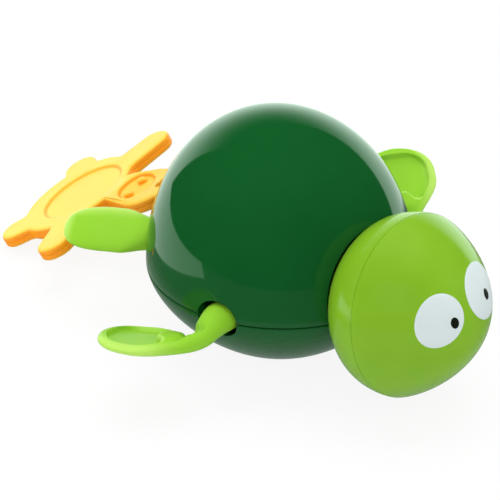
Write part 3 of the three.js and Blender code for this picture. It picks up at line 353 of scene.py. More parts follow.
def plastic(name, pale, deep, rough, bump=0.06, grain=0.0012, mottle=0.02, subsurface=0.0, edge=None, level=0.5,
            gloss=(1, 1, 1, 1)):
    made = bpy.data.materials.new(name)
    made.use_nodes = True
    tree = made.node_tree
    tree.nodes.clear()
    out = node(tree, "ShaderNodeOutputMaterial", 600, 0)
    skin = node(tree, "ShaderNodeBsdfPrincipled", 300, 0)
    tree.links.new(skin.outputs[0], out.inputs["Surface"])
    where = node(tree, "ShaderNodeTexCoord", -900, 0)
    cloud = node(tree, "ShaderNodeTexNoise", -700, 120)
    cloud.inputs["Scale"].default_value = 1 / mottle
    cloud.inputs["Detail"].default_value = 3
    tint = node(tree, "ShaderNodeValToRGB", -450, 160)
    tint.color_ramp.elements[0].position = 0.3
    tint.color_ramp.elements[1].position = 0.7
    tint.color_ramp.elements[0].color = deep
    tint.color_ramp.elements[1].color = pale
    tree.links.new(where.outputs["Object"], cloud.inputs["Vector"])
    tree.links.new(cloud.outputs["Fac"], tint.inputs["Fac"])
    # the edge colour is painted light, mixed in by the painted shade and sheen share: a pale painted sheen on the
    # flippers' edges, an amber painted shade on the tag's walls and hollows
    if edge:
        paintedMask = node(tree, "ShaderNodeAttribute", -450, 420, attribute_name="paintedShadeSheenShare")
        paintedTone = node(tree, "ShaderNodeMix", -150, 260, data_type="RGBA")
        tree.links.new(paintedMask.outputs["Fac"], paintedTone.inputs["Factor"])
        tree.links.new(tint.outputs["Color"], paintedTone.inputs[6])
        paintedTone.inputs[7].default_value = edge
        tree.links.new(paintedTone.outputs[2], skin.inputs["Base Color"])
    else:
        tree.links.new(tint.outputs["Color"], skin.inputs["Base Color"])
    wear = node(tree, "ShaderNodeMapRange", -200, -120)
    wear.inputs["To Min"].default_value = rough * 0.8
    wear.inputs["To Max"].default_value = rough * 1.2
    tree.links.new(cloud.outputs["Fac"], wear.inputs["Value"])
    tree.links.new(wear.outputs[0], skin.inputs["Roughness"])
    peel = node(tree, "ShaderNodeTexNoise", -700, -260)
    peel.inputs["Scale"].default_value = 1 / grain
    peel.inputs["Detail"].default_value = 2
    press = node(tree, "ShaderNodeBump", -200, -320)
    press.inputs["Strength"].default_value = bump
    press.inputs["Distance"].default_value = 0.0002
    tree.links.new(where.outputs["Object"], peel.inputs["Vector"])
    tree.links.new(peel.outputs["Fac"], press.inputs["Height"])
    tree.links.new(press.outputs[0], skin.inputs["Normal"])
    skin.inputs["Specular IOR Level"].default_value = level
    skin.inputs["Specular Tint"].default_value = gloss
    if subsurface:
        skin.inputs["Subsurface Weight"].default_value = subsurface
        skin.inputs["Subsurface Radius"].default_value = (0.0015, 0.0015, 0.0006)
    return made


def metal(name, colour, rough):
    made = plastic(name, colour, tuple(c * 0.85 for c in colour[:3]) + (1,), rough, bump=0.1, grain=0.0004)
    skin = next(n for n in made.node_tree.nodes if n.type == "BSDF_PRINCIPLED")
    skin.inputs["Metallic"].default_value = 1.0
    return made


shellGreen = plastic("shellGreen", rgb(16, 86, 36), rgb(14, 82, 34), 0.06, bump=0.015, grain=0.006,
                     gloss=(0.78, 1.0, 0.86, 1))
headGreen = plastic("headGreen", rgb(132, 183, 38), rgb(124, 175, 32), 0.18, bump=0.03, grain=0.0015)
# the flippers' edge colour is a painted sheen on their thin edges, rims and dish crest
flipperGreen = plastic("flipperGreen", rgb(148, 208, 52), rgb(142, 203, 46), 0.34, bump=0.03, grain=0.0015,
                       edge=rgb(186, 229, 104), level=0.2, subsurface=0.25)
# the tag's edge colour is painted shade: amber on the shaded walls, hollows, eye beads and nose hole
tagYellow = plastic("tagYellow", rgb(254, 220, 94), rgb(252, 211, 82), 0.38, bump=0.04, grain=0.001,
                    edge=rgb(255, 158, 22), level=0.3, subsurface=0.3)
eyeWhite = plastic("eyeWhite", rgb(214, 226, 226), rgb(206, 218, 218), 0.5, bump=0.02)
pupilBlack = plastic("pupilBlack", rgb(24, 28, 18), rgb(16, 19, 12), 0.22, bump=0.02, level=0.2)
cordYellow = plastic("cordYellow", rgb(250, 190, 62), rgb(238, 166, 44), 0.75, bump=0.7, grain=0.0005, mottle=0.002)
gearIvory = plastic("gearIvory", rgb(238, 234, 220), rgb(226, 221, 204), 0.38)
gearboxGrey = plastic("gearboxGrey", rgb(150, 156, 158), rgb(138, 144, 146), 0.42)
bareSteel = metal("bareSteel", rgb(190, 192, 194), 0.28)
bushBrass = metal("bushBrass", rgb(206, 172, 104), 0.32)
print("materials ready")


# shell halves

shellSet = {"seam": 27.5, "halfGap": 0.15, "long": 41.0, "wide": 40.7, "dome": 47.5, "lean": 2.2,
            "bowl": 31.3, "power": 1.55, "wall": 1.8, "edge": 0.3, "steps": 144,
            "tongueGap": 0.25, "tongueTall": 2.4, "tongueThick": 1.0, "tongueRoot": 2.0}


def domeCurve(inset, rows, fromHeight):  # radius and height above the seam
    curve = []
    first = math.asin(fromHeight / (shellSet["dome"] - inset))
    for row in range(rows + 1):
        turn = mix(first, math.pi / 2, row / rows)
        radius = (shellSet["long"] - inset) * math.cos(turn)
        curve.append((max(radius, 0.0), shellSet["seam"] + (shellSet["dome"] - inset) * math.sin(turn)))
    curve[-1] = (0.0, curve[-1][1])
    return curve


def bowlCurve(inset, rows, fromDrop, floor):  # down from the seam to a flat floor
    curve = []
    power = 2 / shellSet["power"]
    depth = shellSet["bowl"] - inset
    first = math.asin((fromDrop / depth) ** (1 / power))
    last = math.asin(((shellSet["seam"] - floor) / depth) ** (1 / power))
    for row in range(rows + 1):
        turn = mix(first, last, row / rows)
        radius = (shellSet["long"] - inset) * math.cos(turn) ** power
        curve.append((radius, shellSet["seam"] - depth * math.sin(turn) ** power))
    return curve


def roundShell(piece):  # oval plan, and the crown leans to the tail
    for corner in piece.data.vertices:
        corner.co.y *= shellSet["wide"] / shellSet["long"]
        rise = max(corner.co.z / mm - shellSet["seam"], 0) / shellSet["dome"]
        corner.co.x -= shellSet["lean"] * rise ** 2 * mm


def makeUpperShell():
    gap, edge = shellSet["halfGap"], shellSet["edge"]
    low = shellSet["seam"] + gap
    rim = shellSet["long"]
    inner = domeCurve(shellSet["wall"], 18, gap)
    outer = domeCurve(0, 44, gap + edge)
    profile = inner[::-1] + [(rim - edge, low), (rim - 0.3 * edge, low + 0.3 * edge)] + outer
    piece = spunProfile("upperShellSkin", profile, shellSet["steps"])
    roundShell(piece)
    return piece


def makeLowerShell():
    gap, edge, wall = shellSet["halfGap"], shellSet["edge"], shellSet["wall"]
    high = shellSet["seam"] - gap
    rim = shellSet["long"]
    outer = bowlCurve(0, 34, gap + edge, 0.0)
    belly = outer[-1][0]
    profile = [(0.0, 0.0), (belly * 0.5, 0.0), (belly - 0.6, 0.0), (belly - 0.2, 0.06)]
    profile += outer[-2::-1]
    profile += [(rim - 0.3 * edge, high - 0.3 * edge), (rim - edge, high)]
    tongue = rim - wall - shellSet["tongueGap"]
    inside, top = tongue - shellSet["tongueThick"], high + shellSet["tongueTall"]
    profile += [(tongue, high), (tongue, top), (inside, top), (inside, high - shellSet["tongueRoot"])]
    inner = bowlCurve(wall, 14, 3.0, wall)
    profile += inner + [(0.0, wall)]
    piece = spunProfile("lowerShellSkin", profile, shellSet["steps"])
    roundShell(piece)
    return piece


headSet = {"x": 53.4, "z": 33.45, "pitch": 11.5, "radius": 26.85, "face": 22.1,
           "shoulder": (9.0, 23.5), "flat": 12.5, "back": 20.25, "power": 2.31, "wall": 1.8,
           "halfCrease": 0.02, "edge": 0.1, "gap": 0.7, "steps": 144,
           "neck": 8.0, "collar": 11.0, "socket": 6.0, "spigot": (22.3, 23.7), "spigotTall": 2.4}
pitch = math.radians(headSet["pitch"])
headAxis = Vector((math.cos(pitch), 0, math.sin(pitch)))
headUp = Vector((-math.sin(pitch), 0, math.cos(pitch)))
headMiddle = Vector((headSet["x"], 0, headSet["z"])) * mm
headTurned = Matrix((headUp, Vector((0, -1, 0)), headAxis)).transposed().to_4x4()
headFrame = Matrix.Translation(headMiddle) @ headTurned


def faceCurve(offset, rows, first=0.0):  # radius and distance in front of the crease
    radius, depth = headSet["radius"] + offset, headSet["face"] + offset
    shoulder = (headSet["shoulder"][0], headSet["shoulder"][1] + offset)
    curve = []
    for row in range(rows + 1):
        t = mix(first, 1.0, row / rows)
        a, b, c, d = (1 - t) ** 3, 3 * t * (1 - t) ** 2, 3 * t * t * (1 - t), t ** 3
        ahead = b * shoulder[0] + c * depth + d * depth
        curve.append((a * radius + b * shoulder[1] + c * headSet["flat"], ahead))
    curve[-1] = (0.0, depth)
    return curve


def backCurve(offset, rows, first=0.0, last=0.5 * math.pi):
    curve = []
    power = 2 / headSet["power"]
    for row in range(rows + 1):
        turn = mix(first, last, row / rows)
        radius = (headSet["radius"] + offset) * max(math.cos(turn), 0) ** power
        curve.append((radius, -(headSet["back"] + offset) * math.sin(turn) ** power))
    return curve


def headOpening():
    grow = headSet["gap"]
    back = backCurve(grow, 40)
    back[-1] = (0.0, back[-1][1])
    wide = headSet["radius"] + grow
    piece = spunProfile("headOpening", [(0.0, wide), (wide, wide)] + back, headSet["steps"])
    place(piece, headFrame)
    return piece


holeSet = {"hub": 6.1, "hubX": 12.0, "hubSide": 38.92, "stub": 4.5, "bushing": 2.75, "cordZ": 32.0,
           "bosses": ((-1.0, 31.2), (-16.0, 28.6)), "boss": 3.4, "bore": 2.7, "seat": 19.35, "shank": 1.55}
rearAngle = math.radians(26)
rearSweep = math.radians(34.9)


def rearRoot(hand):
    return Vector((-shellSet["long"] * math.cos(rearAngle), hand * shellSet["wide"] * math.sin(rearAngle),
                   shellSet["seam"]))


def rearOut(hand):
    return Vector((-math.cos(rearSweep), hand * math.sin(rearSweep), 0))


def cutShell(piece):
    combine(piece, headOpening())
    for hand in (1, -1):
        hub = (holeSet["hubX"], hand * 30.0, shellSet["seam"])
        far = (holeSet["hubX"], hand * 46.0, shellSet["seam"])
        combine(piece, rod("hubHole", holeSet["hub"], hub, far, 96))
        root, out = rearRoot(hand), rearOut(hand)
        combine(piece, rod("stubHole", holeSet["stub"], root - out * 9, root + out * 9, 72))


def addBosses(piece):  # screw towers in the lower half, bored from below
    outline = bowlCurve(0.6, 30, 0.2, 0.6)
    body = spunProfile("bowlBody", [(0.0, outline[-1][1])] + outline[::-1] + [(0.0, outline[0][1])], 96)
    roundShell(body)
    for x, y in holeSet["bosses"]:
        for hand in (1, -1):
            tower = rod("tower", holeSet["boss"], (x, hand * y, 0), (x, hand * y, shellSet["seam"] - 0.2), 48)
            combine(tower, body, "INTERSECT", keep=True)
            combine(piece, tower, "UNION")
            combine(piece, rod("bore", holeSet["bore"], (x, hand * y, -1), (x, hand * y, holeSet["seat"]), 48))
            combine(piece, rod("shank", holeSet["shank"], (x, hand * y, 10), (x, hand * y, 40), 32))
    bpy.data.objects.remove(body, do_unlink=True)


upperShell = makeUpperShell()
cutShell(upperShell)
combine(upperShell, rod("bushingHole", holeSet["bushing"], (-47, 0, holeSet["cordZ"]), (-36, 0, holeSet["cordZ"])))
soften(upperShell, 40)
finishPiece(upperShell, shellGreen, "shell", "shell", "upper_shell")
lowerShell = makeLowerShell()
addBosses(lowerShell)
cutShell(lowerShell)
soften(lowerShell, 40)
finishPiece(lowerShell, shellGreen, "shell", "shell", "lower_shell")
print("shell halves modelled")


# head

def makeHeadFace():
    crease, edge, wall = headSet["halfCrease"], headSet["edge"], headSet["wall"]
    outer = faceCurve(0, 60)
    inner = faceCurve(-wall, 24)
    rim = headSet["radius"]
    front = [p for p in outer if p[1] > crease + edge]
    hollow = [p for p in inner if p[1] > crease + 0.2]
    profile = hollow[::-1] + [(rim - wall - 0.1, crease), (rim - edge - 0.1, crease)]
    profile += [(rim - 0.36 * edge - 0.1, crease + 0.2 * edge), (rim - 0.1 * edge - 0.12, crease + 0.55 * edge)]
    profile += front
    piece = spunProfile("headFaceSkin", profile, headSet["steps"])
    place(piece, headFrame)
    soften(piece, 45)
    return piece


def makeHeadBack():
    crease, edge, wall = headSet["halfCrease"], headSet["edge"], headSet["wall"]
    rim = headSet["radius"]
    neck, collar, socket = headSet["neck"], headSet["collar"], headSet["socket"]
    inside, outside = headSet["spigot"]
    tall = headSet["spigotTall"]
    outer = [p for p in backCurve(0, 60) if p[1] < -crease - edge and p[0] > neck]
    inner = [p for p in backCurve(-wall, 24) if p[1] < -3.2 and p[0] > neck - 1.9]
    profile = [(outside, -crease), (rim - edge, -crease), (rim - 0.3 * edge, -crease - 0.3 * edge)]
    profile += outer + [(neck, -20.1), (neck, -26.05), (collar, -26.05), (collar, -28.05)]
    profile += [(socket, -28.05), (socket, -18.2)] + inner[::-1]
    profile += [(24.6, -3.0), (inside, -3.0), (inside, tall), (outside, tall), (outside, -crease)]
    piece = spunProfile("headBackSkin", profile, headSet["steps"])
    place(piece, headFrame)
    soften(piece, 45)
    return piece


faceTable = faceCurve(0, 400)


def facePoint(across, rise, lift):  # a point of the face, lifted along its normal, in mm
    radius = math.hypot(across, rise)
    for low, high in zip(faceTable, faceTable[1:]):
        if high[0] <= radius <= low[0]:
            share = (low[0] - radius) / max(low[0] - high[0], 1e-9)
            ahead = mix(low[1], high[1], share)
            normal = Vector((high[1] - low[1], low[0] - high[0])).normalized()  # radial, forward
            break
    turn = math.atan2(rise, across)
    reach = radius + lift * normal.x
    point = Vector((reach * math.cos(turn), reach * math.sin(turn), ahead + lift * normal.y))
    return headMiddle / mm + Vector((0, 1, 0)) * point.x + headUp * point.y + headAxis * point.z


eyeSet = {  # each eye: across and rise on the face, half width, half height, lean
    "white": {"left": (7.5, 5.65, 7.7, 8.8, 70.7), "right": (-10.15, 3.5, 6.2, 7.8, -27.5),
              "lift": 0.15, "depth": -0.7},
    "pupil": {"left": (7.9, 4.7, 1.3, 1.65, 8.9), "right": (-7.0, 2.25, 1.2, 1.65, 0.0),
              "lift": 0.4, "depth": -0.4},
    "soft": 0.45, "roll": 0.35, "rings": 16, "sides": 72,
}


def eyeInlay(name, side, kind):
    size = eyeSet[kind]
    middleAcross, middleRise, wide, tall, degrees = size[side]
    lean = math.radians(degrees)
    lift = size["lift"]
    soft = eyeSet["soft"] / wide
    count, sides = eyeSet["rings"], eyeSet["sides"]
    profile = [((1 - 1.6 * soft) * ring / count, lift) for ring in range(count + 1)]
    for step in range(1, 7):
        turn = step / 6 * math.pi / 2
        profile.append((1 - soft + soft * math.sin(turn), lift - eyeSet["roll"] * (1 - math.cos(turn))))
    profile += [(1.0, size["depth"]), (0.6, size["depth"]), (0.0, size["depth"])]
    rings = []
    for share, height in profile:
        ring = []
        for step in range(sides):
            turn = step / sides * 2 * math.pi
            x, y = wide * share * math.cos(turn), tall * share * math.sin(turn)
            across = middleAcross + x * math.cos(lean) - y * math.sin(lean)
            rise = middleRise + x * math.sin(lean) + y * math.cos(lean)
            ring.append(facePoint(across, rise, height))
        rings.append(ring)
    piece = lofted(name, rings)
    soften(piece, 50)
    return piece


headFace = makeHeadFace()
finishPiece(headFace, headGreen, "head", "head", "head_face")
headBack = makeHeadBack()
finishPiece(headBack, headGreen, "head", "head", "head_back")
for side in ("left", "right"):
    white = eyeInlay("eyeWhite_" + side, side, "white")
    finishPiece(white, eyeWhite, "head", "eye", "eye_white_" + side)
    pupil = eyeInlay("eyePupil_" + side, side, "pupil")
    finishPiece(pupil, pupilBlack, "head", "pupil", "pupil_" + side)
print("head and eyes modelled")


# front flippers

flipperSet = {"hub": 4.7, "inside": 6.0, "root": 10.6, "bend": 8.6, "sweep": 59.8, "length": 41.1, "tipLift": 3.7,
              "sag": 0.4, "drop": 3.5, "twist": -12.2, "neck": 6.2, "grow": 5.5, "wide": 13.0, "arm": 3.5,
              "tip": 8.5, "power": 2.25, "thick": 5.6, "rim": 2.6, "dish": 1.15, "wallRun": 0.9, "bore": 1.8,
              "dishFrom": 22.7, "startRun": 0.6, "tongue": 2.3, "ridge": (0.8, 3.4), "groove": 1.9,
              "grooveRun": 0.9, "grooveFrom": (11.0, 12.0), "grooveTo": (16.0, 20.0),
              "crest": ((11.0, -3.0), (12.5, -2.8), (14.0, -1.6), (16.0, -1.2), (18.0, -3.4), (21.0, -6.0),
                        (24.0, -7.5)),  # distance and side of the line where the arm's scoop starts
              "phase": {"left": 161.5, "right": 201.4}, "rows": 120, "crowd": 1.7}


def roundEnd(distance, length, size, blunt=0.05, power=2.0):
    past = min(max((distance - length + size) / size, 0), 1)
    return max(1 - past ** power, blunt ** power) ** (1 / power)


def neckShare(distance):
    return smooth(flipperSet["root"] - flipperSet["neck"], flipperSet["root"] + flipperSet["neck"], distance)


def flipperLine(distance):
    turnAll = math.radians(flipperSet["sweep"])
    bend = min(max((distance - flipperSet["root"]) / flipperSet["bend"], 0), 1) * turnAll
    radius = flipperSet["bend"] / turnAll
    past = max(distance - flipperSet["root"] - flipperSet["bend"], 0)
    out = min(distance, flipperSet["root"]) - flipperSet["inside"]
    share = max(distance - flipperSet["root"], 0) / (flipperSet["length"] - flipperSet["root"])
    lift = flipperSet["tipLift"] * share ** 2 - flipperSet["sag"] * math.sin(math.pi * share)
    lift -= flipperSet["drop"] * neckShare(distance) * (1 - share)
    return (out + radius * math.sin(bend) + past * math.cos(turnAll),
            radius * (1 - math.cos(bend)) + past * math.sin(turnAll), lift, bend,
            math.radians(flipperSet["twist"]) * share)


def flipperRing(distance, base, out, sweep, face):
    size = flipperSet
    ahead, across, lift, bend, twist = flipperLine(distance)
    grown = smooth(size["root"] + size["bend"] - size["grow"], size["length"] - size["tip"] - 2.0, distance)
    blade = mix(size["arm"], size["wide"], grown)
    tip = roundEnd(distance, size["length"], size["tip"], power=size["power"])
    halfWide = mix(size["hub"], blade * tip, neckShare(distance))
    halfThick = mix(size["hub"], size["thick"] / 2, neckShare(distance))
    halfThick *= mix(1, roundEnd(distance, size["length"], size["thick"]), 0.72)
    dishEnd = size["length"] - size["rim"]
    dishWide = (blade - size["rim"]) * roundEnd(distance, dishEnd, size["tip"] - size["rim"], 0.0, size["power"])
    dishWide = min(max(dishWide, 0.3 * halfWide), 0.86 * halfWide)
    opened = 1 - smooth(dishEnd - size["wallRun"], dishEnd, distance)
    groove = size["groove"] * smooth(*size["grooveFrom"], distance) * (1 - smooth(*size["grooveTo"], distance))
    crest = size["crest"][0][1]
    for (low, lowX), (high, highX) in zip(size["crest"], size["crest"][1:]):
        crest += (highX - lowX) * min(max((distance - low) / (high - low), 0), 1)
    floor = max(halfThick * math.sqrt(1 - (dishWide / halfWide) ** 2) - size["dish"], -0.2 * halfThick)
    centre = base + out * ahead + sweep * across + face * lift
    level = out * -math.sin(bend) + sweep * math.cos(bend)
    side = level * math.cos(twist) + face * math.sin(twist)
    upward = face * math.cos(twist) - level * math.sin(twist)

    def past(x):  # how far beyond the start of the dish
        return distance - size["dishFrom"] - size["tongue"] * (1 - smooth(*size["ridge"], abs(x)))

    def top(x):
        rise = halfThick * math.sqrt(max(1 - (x / halfWide) ** 2, 0))
        sunk = opened * smooth(-size["startRun"], size["startRun"], past(x))
        sunk *= 1 - smooth(dishWide - size["wallRun"], dishWide, abs(x))
        scoop = groove * smooth(crest, crest + size["grooveRun"], x) * (1 - smooth(0.75, 1.0, x / halfWide))
        return mix(rise, min(rise, floor), sunk) - scoop * (1 - sunk)

    wallFrom = max(dishWide - size["wallRun"], 0.5 * dishWide)
    last = math.acos(min(dishWide / halfWide, 1.0))
    xs = [halfWide * math.cos(step / 8 * last) for step in range(8)]
    xs += [mix(dishWide, wallFrom, step / 6) for step in range(7)]
    xs += [wallFrom * (1 - step / 16) for step in range(1, 16)]
    upper = [(x, top(x)) for x in xs] + [(0.0, top(0))] + [(-x, top(-x)) for x in xs[::-1]]
    lower = []
    for step in range(1, 24):
        turn = math.pi + step / 24 * math.pi
        lower.append((math.cos(turn) * halfWide, math.sin(turn) * halfThick))
    # painted sheen: the blade's outer edges paler
    pale = 0.9 * smooth(size["root"] + 6, size["root"] + 16, distance)
    shares = [pale * smooth(0.62, 0.9, abs(x) / halfWide) for x, y in upper + lower]
    # painted highlight along the crest where the dish starts
    for at, (x, y) in enumerate(upper):
        if abs(x) < dishWide:
            shares[at] = max(shares[at], 1 - smooth(0.3, 0.8, abs(past(x) + 0.5)))
    return [centre + side * x + upward * y for x, y in upper + lower], shares


def makeFrontFlipper(side, hand):
    angle = math.radians(flipperSet["phase"][side])
    base = Vector((holeSet["hubX"], hand * holeSet["hubSide"], shellSet["seam"]))
    out = Vector((0, hand, 0))
    sweep = Vector((math.cos(angle), 0, math.sin(angle)))
    face = Vector((math.sin(angle), 0, -math.cos(angle)))
    rings, shares = [], []
    for row in range(flipperSet["rows"] + 1):
        share = 1 - (1 - row / flipperSet["rows"]) ** flipperSet["crowd"]
        ring, paintedSheen = flipperRing(share * flipperSet["length"], base, out, sweep, face)
        rings.append(ring)
        shares.append(paintedSheen)
    piece = lofted("frontFlipper_" + side, rings, shares=shares)
    combine(piece, rod("axleBore", flipperSet["bore"], base - out * 7, base + out * 3.3, 32))
    soften(piece, 42)
    return piece


for side, hand in (("left", 1), ("right", -1)):
    flipper = makeFrontFlipper(side, hand)
    finishPiece(flipper, flipperGreen, "flipper_axle", "flipper", "front_flipper_" + side)
print("front flippers modelled")


# rear flippers

rearSet = {"tilt": 20, "stub": 4.0, "gap": 0.5, "length": 28.6, "leafRun": 10.0, "bow": 0.7, "wide": 8.8,
           "rootWide": 5.7, "tip": 14.6, "thick": 5.0, "flange": 5.8, "inset": 5.0, "flangeThick": 1.5,
           "square": 2.15, "blunt": 2.5, "rows": 60}


def makeRearFlipper(side, hand):
    root, out = rearRoot(hand), rearOut(hand)
    level = Vector((math.sin(rearSweep), hand * math.cos(rearSweep), 0))
    tilt = math.radians(rearSet["tilt"])
    across = level * math.cos(tilt) - Vector((0, 0, 1)) * math.sin(tilt)
    face = level * math.sin(tilt) + Vector((0, 0, 1)) * math.cos(tilt)
    stations = []  # distance from the root, half width, half thickness, squareness
    flangeEnd = -rearSet["inset"] - rearSet["flangeThick"]
    for far, size in ((flangeEnd, 0.0), (flangeEnd, rearSet["flange"]), (-rearSet["inset"], rearSet["flange"]),
                      (-rearSet["inset"], rearSet["stub"]), (-2.0, rearSet["stub"]), (0.1, rearSet["stub"]),
                      (rearSet["gap"], rearSet["stub"] + 0.02)):
        stations.append((far, size, size, 2.0))
    for row in range(rearSet["rows"] + 1):
        distance = (1 - (1 - row / rearSet["rows"]) ** flipperSet["crowd"]) * rearSet["length"]
        leaf = smooth(0, rearSet["leafRun"], distance)
        past = max((distance - rearSet["length"] + rearSet["tip"]) / rearSet["tip"], 0)
        tip = max(1 - past ** rearSet["blunt"], 0.0004) ** (1 / rearSet["blunt"])
        start = mix(0.82, 1.0, smooth(0, 1.2, distance))
        wide = mix(rearSet["rootWide"], rearSet["wide"], leaf) * tip * start
        thick = mix(rearSet["stub"], rearSet["thick"] / 2, leaf)
        thick *= mix(1, roundEnd(distance, rearSet["length"], rearSet["thick"]), 0.85)
        stations.append((rearSet["gap"] + distance, wide, thick * start, mix(2.0, rearSet["square"], leaf)))
    rings, shares = [], []
    for distance, wide, thick, square in stations:
        share = min(max((distance - rearSet["gap"]) / rearSet["length"], 0), 1)
        bow = rearSet["bow"] * math.sin(math.pi * share)
        ring, paintedSheen = [], []
        for step in range(64):
            turn = step / 64 * 2 * math.pi
            c, s = math.cos(turn), math.sin(turn)
            x = math.copysign(abs(c) ** (2 / square), c) * wide
            # painted sheen: the leaf's upper edge and its tip paler
            paintedSheen.append(smooth(0.1, 0.3, share) * max(smooth(0.2, 1.0, -c), smooth(0.85, 1.0, share)))
            y = math.copysign(abs(s) ** (2 / square), s) * thick
            ring.append(root + out * distance + across * x + face * (y + bow))
        rings.append(ring)
        shares.append(paintedSheen)
    piece = lofted("rearFlipper_" + side, rings, shares=shares)
    soften(piece, 42)
    return piece


for side, hand in (("left", 1), ("right", -1)):
    leaf = makeRearFlipper(side, hand)
    finishPiece(leaf, flipperGreen, "rear_" + side, "flipper", "rear_flipper_" + side)
print("rear flippers modelled")


# pull tag

tagSet = {"nose": (-49.7, 0.0, 35.8), "yaw": 7.6, "pitch": 23.8, "roll": 13.3, "thick": 4.6, "centre": -44.9,
          "body": (19.8, 21.5), "headAt": -12.1, "head": (12.05, 10.5), "neck": 6.5,
          "frontLeg": ((-35.1, 14.0), (-31.3, 28.6), 6.25), "rearLeg": ((-51.8, 12.4), (-59.6, 18.3), 6.05),
          "fillet": 1.8, "backAt": -42.0, "back": (14.4, 15.2), "recess": 0.8, "round": 1.2, "angles": 480,
          "faceAt": -15.9, "face": (6.3, 7.1), "faceDepth": 1.2, "eyesAt": -16.8, "eyes": 3.9, "eye": 1.8,
          "hole": (-5.2, 1.8), "bend": 1.4, "bendFrom": -22.0, "bendTo": -10.0}
tagYaw, tagPitch, tagRoll = (math.radians(tagSet[key]) for key in ("yaw", "pitch", "roll"))
tagAxis = Vector((math.cos(tagPitch) * math.cos(tagYaw), math.cos(tagPitch) * math.sin(tagYaw),
                  math.sin(tagPitch)))
levelSide = Vector((-math.sin(tagYaw), math.cos(tagYaw), 0))
tagSide = levelSide * math.cos(tagRoll) + tagAxis.cross(levelSide) * math.sin(tagRoll)
tagFace = tagAxis.cross(tagSide)
tagTurned = Matrix((tagAxis, tagSide, tagFace)).transposed().to_4x4()
tagFrame = Matrix.Translation(Vector(tagSet["nose"]) * mm) @ tagTurned


def ovalGap(x, y, centre, semi):
    nearX, nearY = (x - centre) / semi[0], y / semi[1]
    size = math.hypot(nearX, nearY)
    slope = math.hypot(nearX / semi[0], nearY / semi[1])
    return size * (size - 1) / max(slope, 1e-9)


def limbGap(x, y, start, end, radius):
    dx, dy = end[0] - start[0], end[1] - start[1]
    share = ((x - start[0]) * dx + (y - start[1]) * dy) / (dx * dx + dy * dy)
    share = min(max(share, 0), 1)
    return math.hypot(x - start[0] - dx * share, y - start[1] - dy * share) - radius


def joinGaps(a, b, size):
    share = max(size - abs(a - b), 0) / size
    return min(a, b) - share * share * size / 4


def tagGap(x, y):  # below zero inside the tag's outline
    y = abs(y)
    gap = ovalGap(x, y, tagSet["centre"], tagSet["body"])
    neck = limbGap(x, y, (tagSet["centre"], 0), (tagSet["headAt"], 0), tagSet["neck"])
    gap = joinGaps(gap, neck, tagSet["fillet"])
    gap = joinGaps(gap, ovalGap(x, y, tagSet["headAt"], tagSet["head"]), tagSet["fillet"])
    for leg in ("frontLeg", "rearLeg"):
        gap = joinGaps(gap, limbGap(x, y, *tagSet[leg]), tagSet["fillet"])
    return gap


def tagOutline():
    points = []
    for step in range(tagSet["angles"]):
        turn = (step + 0.5) / tagSet["angles"] * 2 * math.pi
        c, s = math.cos(turn), math.sin(turn)
        far = 50.0
        while tagGap(tagSet["centre"] + far * c, far * s) > 0:
            far -= 0.25
        low, high = far, far + 0.25
        for bisect in range(12):
            middle = (low + high) / 2
            if tagGap(tagSet["centre"] + middle * c, middle * s) > 0:
                high = middle
            else:
                low = middle
        x, y = tagSet["centre"] + low * c, low * s
        tiny = 0.02
        slopeX = tagGap(x + tiny, y) - tagGap(x - tiny, y)
        slopeY = tagGap(x, y + tiny) - tagGap(x, y - tiny)
        normal = Vector((slopeX, slopeY)).normalized()
        points.append((Vector((x, y)), normal, turn))
    return points


def tagPaintedShade(piece):  # painted shade: how far each point is on a shaded wall or hollow, for the amber tint
    share = piece.data.attributes.new("paintedShadeSheenShare", "FLOAT", "POINT")
    thick = tagSet["thick"]
    for index, corner in enumerate(piece.data.vertices):
        x, y, z = corner.co / mm
        depth = min(-z, z + thick)
        # painted shade on the side walls
        wall = smooth(0.15, 1.0, depth) * smooth(-0.8, -0.2, tagGap(x, y))
        backGap = ovalGap(x, y, tagSet["backAt"], tagSet["back"])
        faceGap = ovalGap(x, y, tagSet["faceAt"], tagSet["face"])
        # painted shade on the wall of the sunk back oval
        paintedShade = smooth(0.0, 0.3, depth) * smooth(-1.0, -0.4, backGap) * (1 - smooth(0.5, 0.9, backGap)) * 0.7
        if z > -2:
            # painted shade on the face pocket's wall
            paintedShade = max(paintedShade, smooth(0.1, 0.5, depth) * smooth(-0.9, -0.3, faceGap) * (1 - smooth(0.3, 0.6, faceGap)))
            # painted shade on the near, lower side of each eye bead
            fromEye = Vector((x - tagSet["eyesAt"], y - math.copysign(tagSet["eyes"], y))) / tagSet["eye"]
            shade = smooth(0.25, 0.8, fromEye.x * 0.7 - fromEye.y * 0.7)
            paintedShade = max(paintedShade, shade * (1 - smooth(1.1, 1.3, fromEye.length)))
        # painted shade inside the nose hole
        if math.hypot(x - tagSet["hole"][0], y) < tagSet["hole"][1] + 0.3:
            paintedShade = max(paintedShade, smooth(0.0, 0.4, depth))
        # painted shade where the shell shades the tag's head
        shellShade = 0.3 * smooth(-26, -18, x)
        share.data[index].value = max(wall, paintedShade, shellShade)


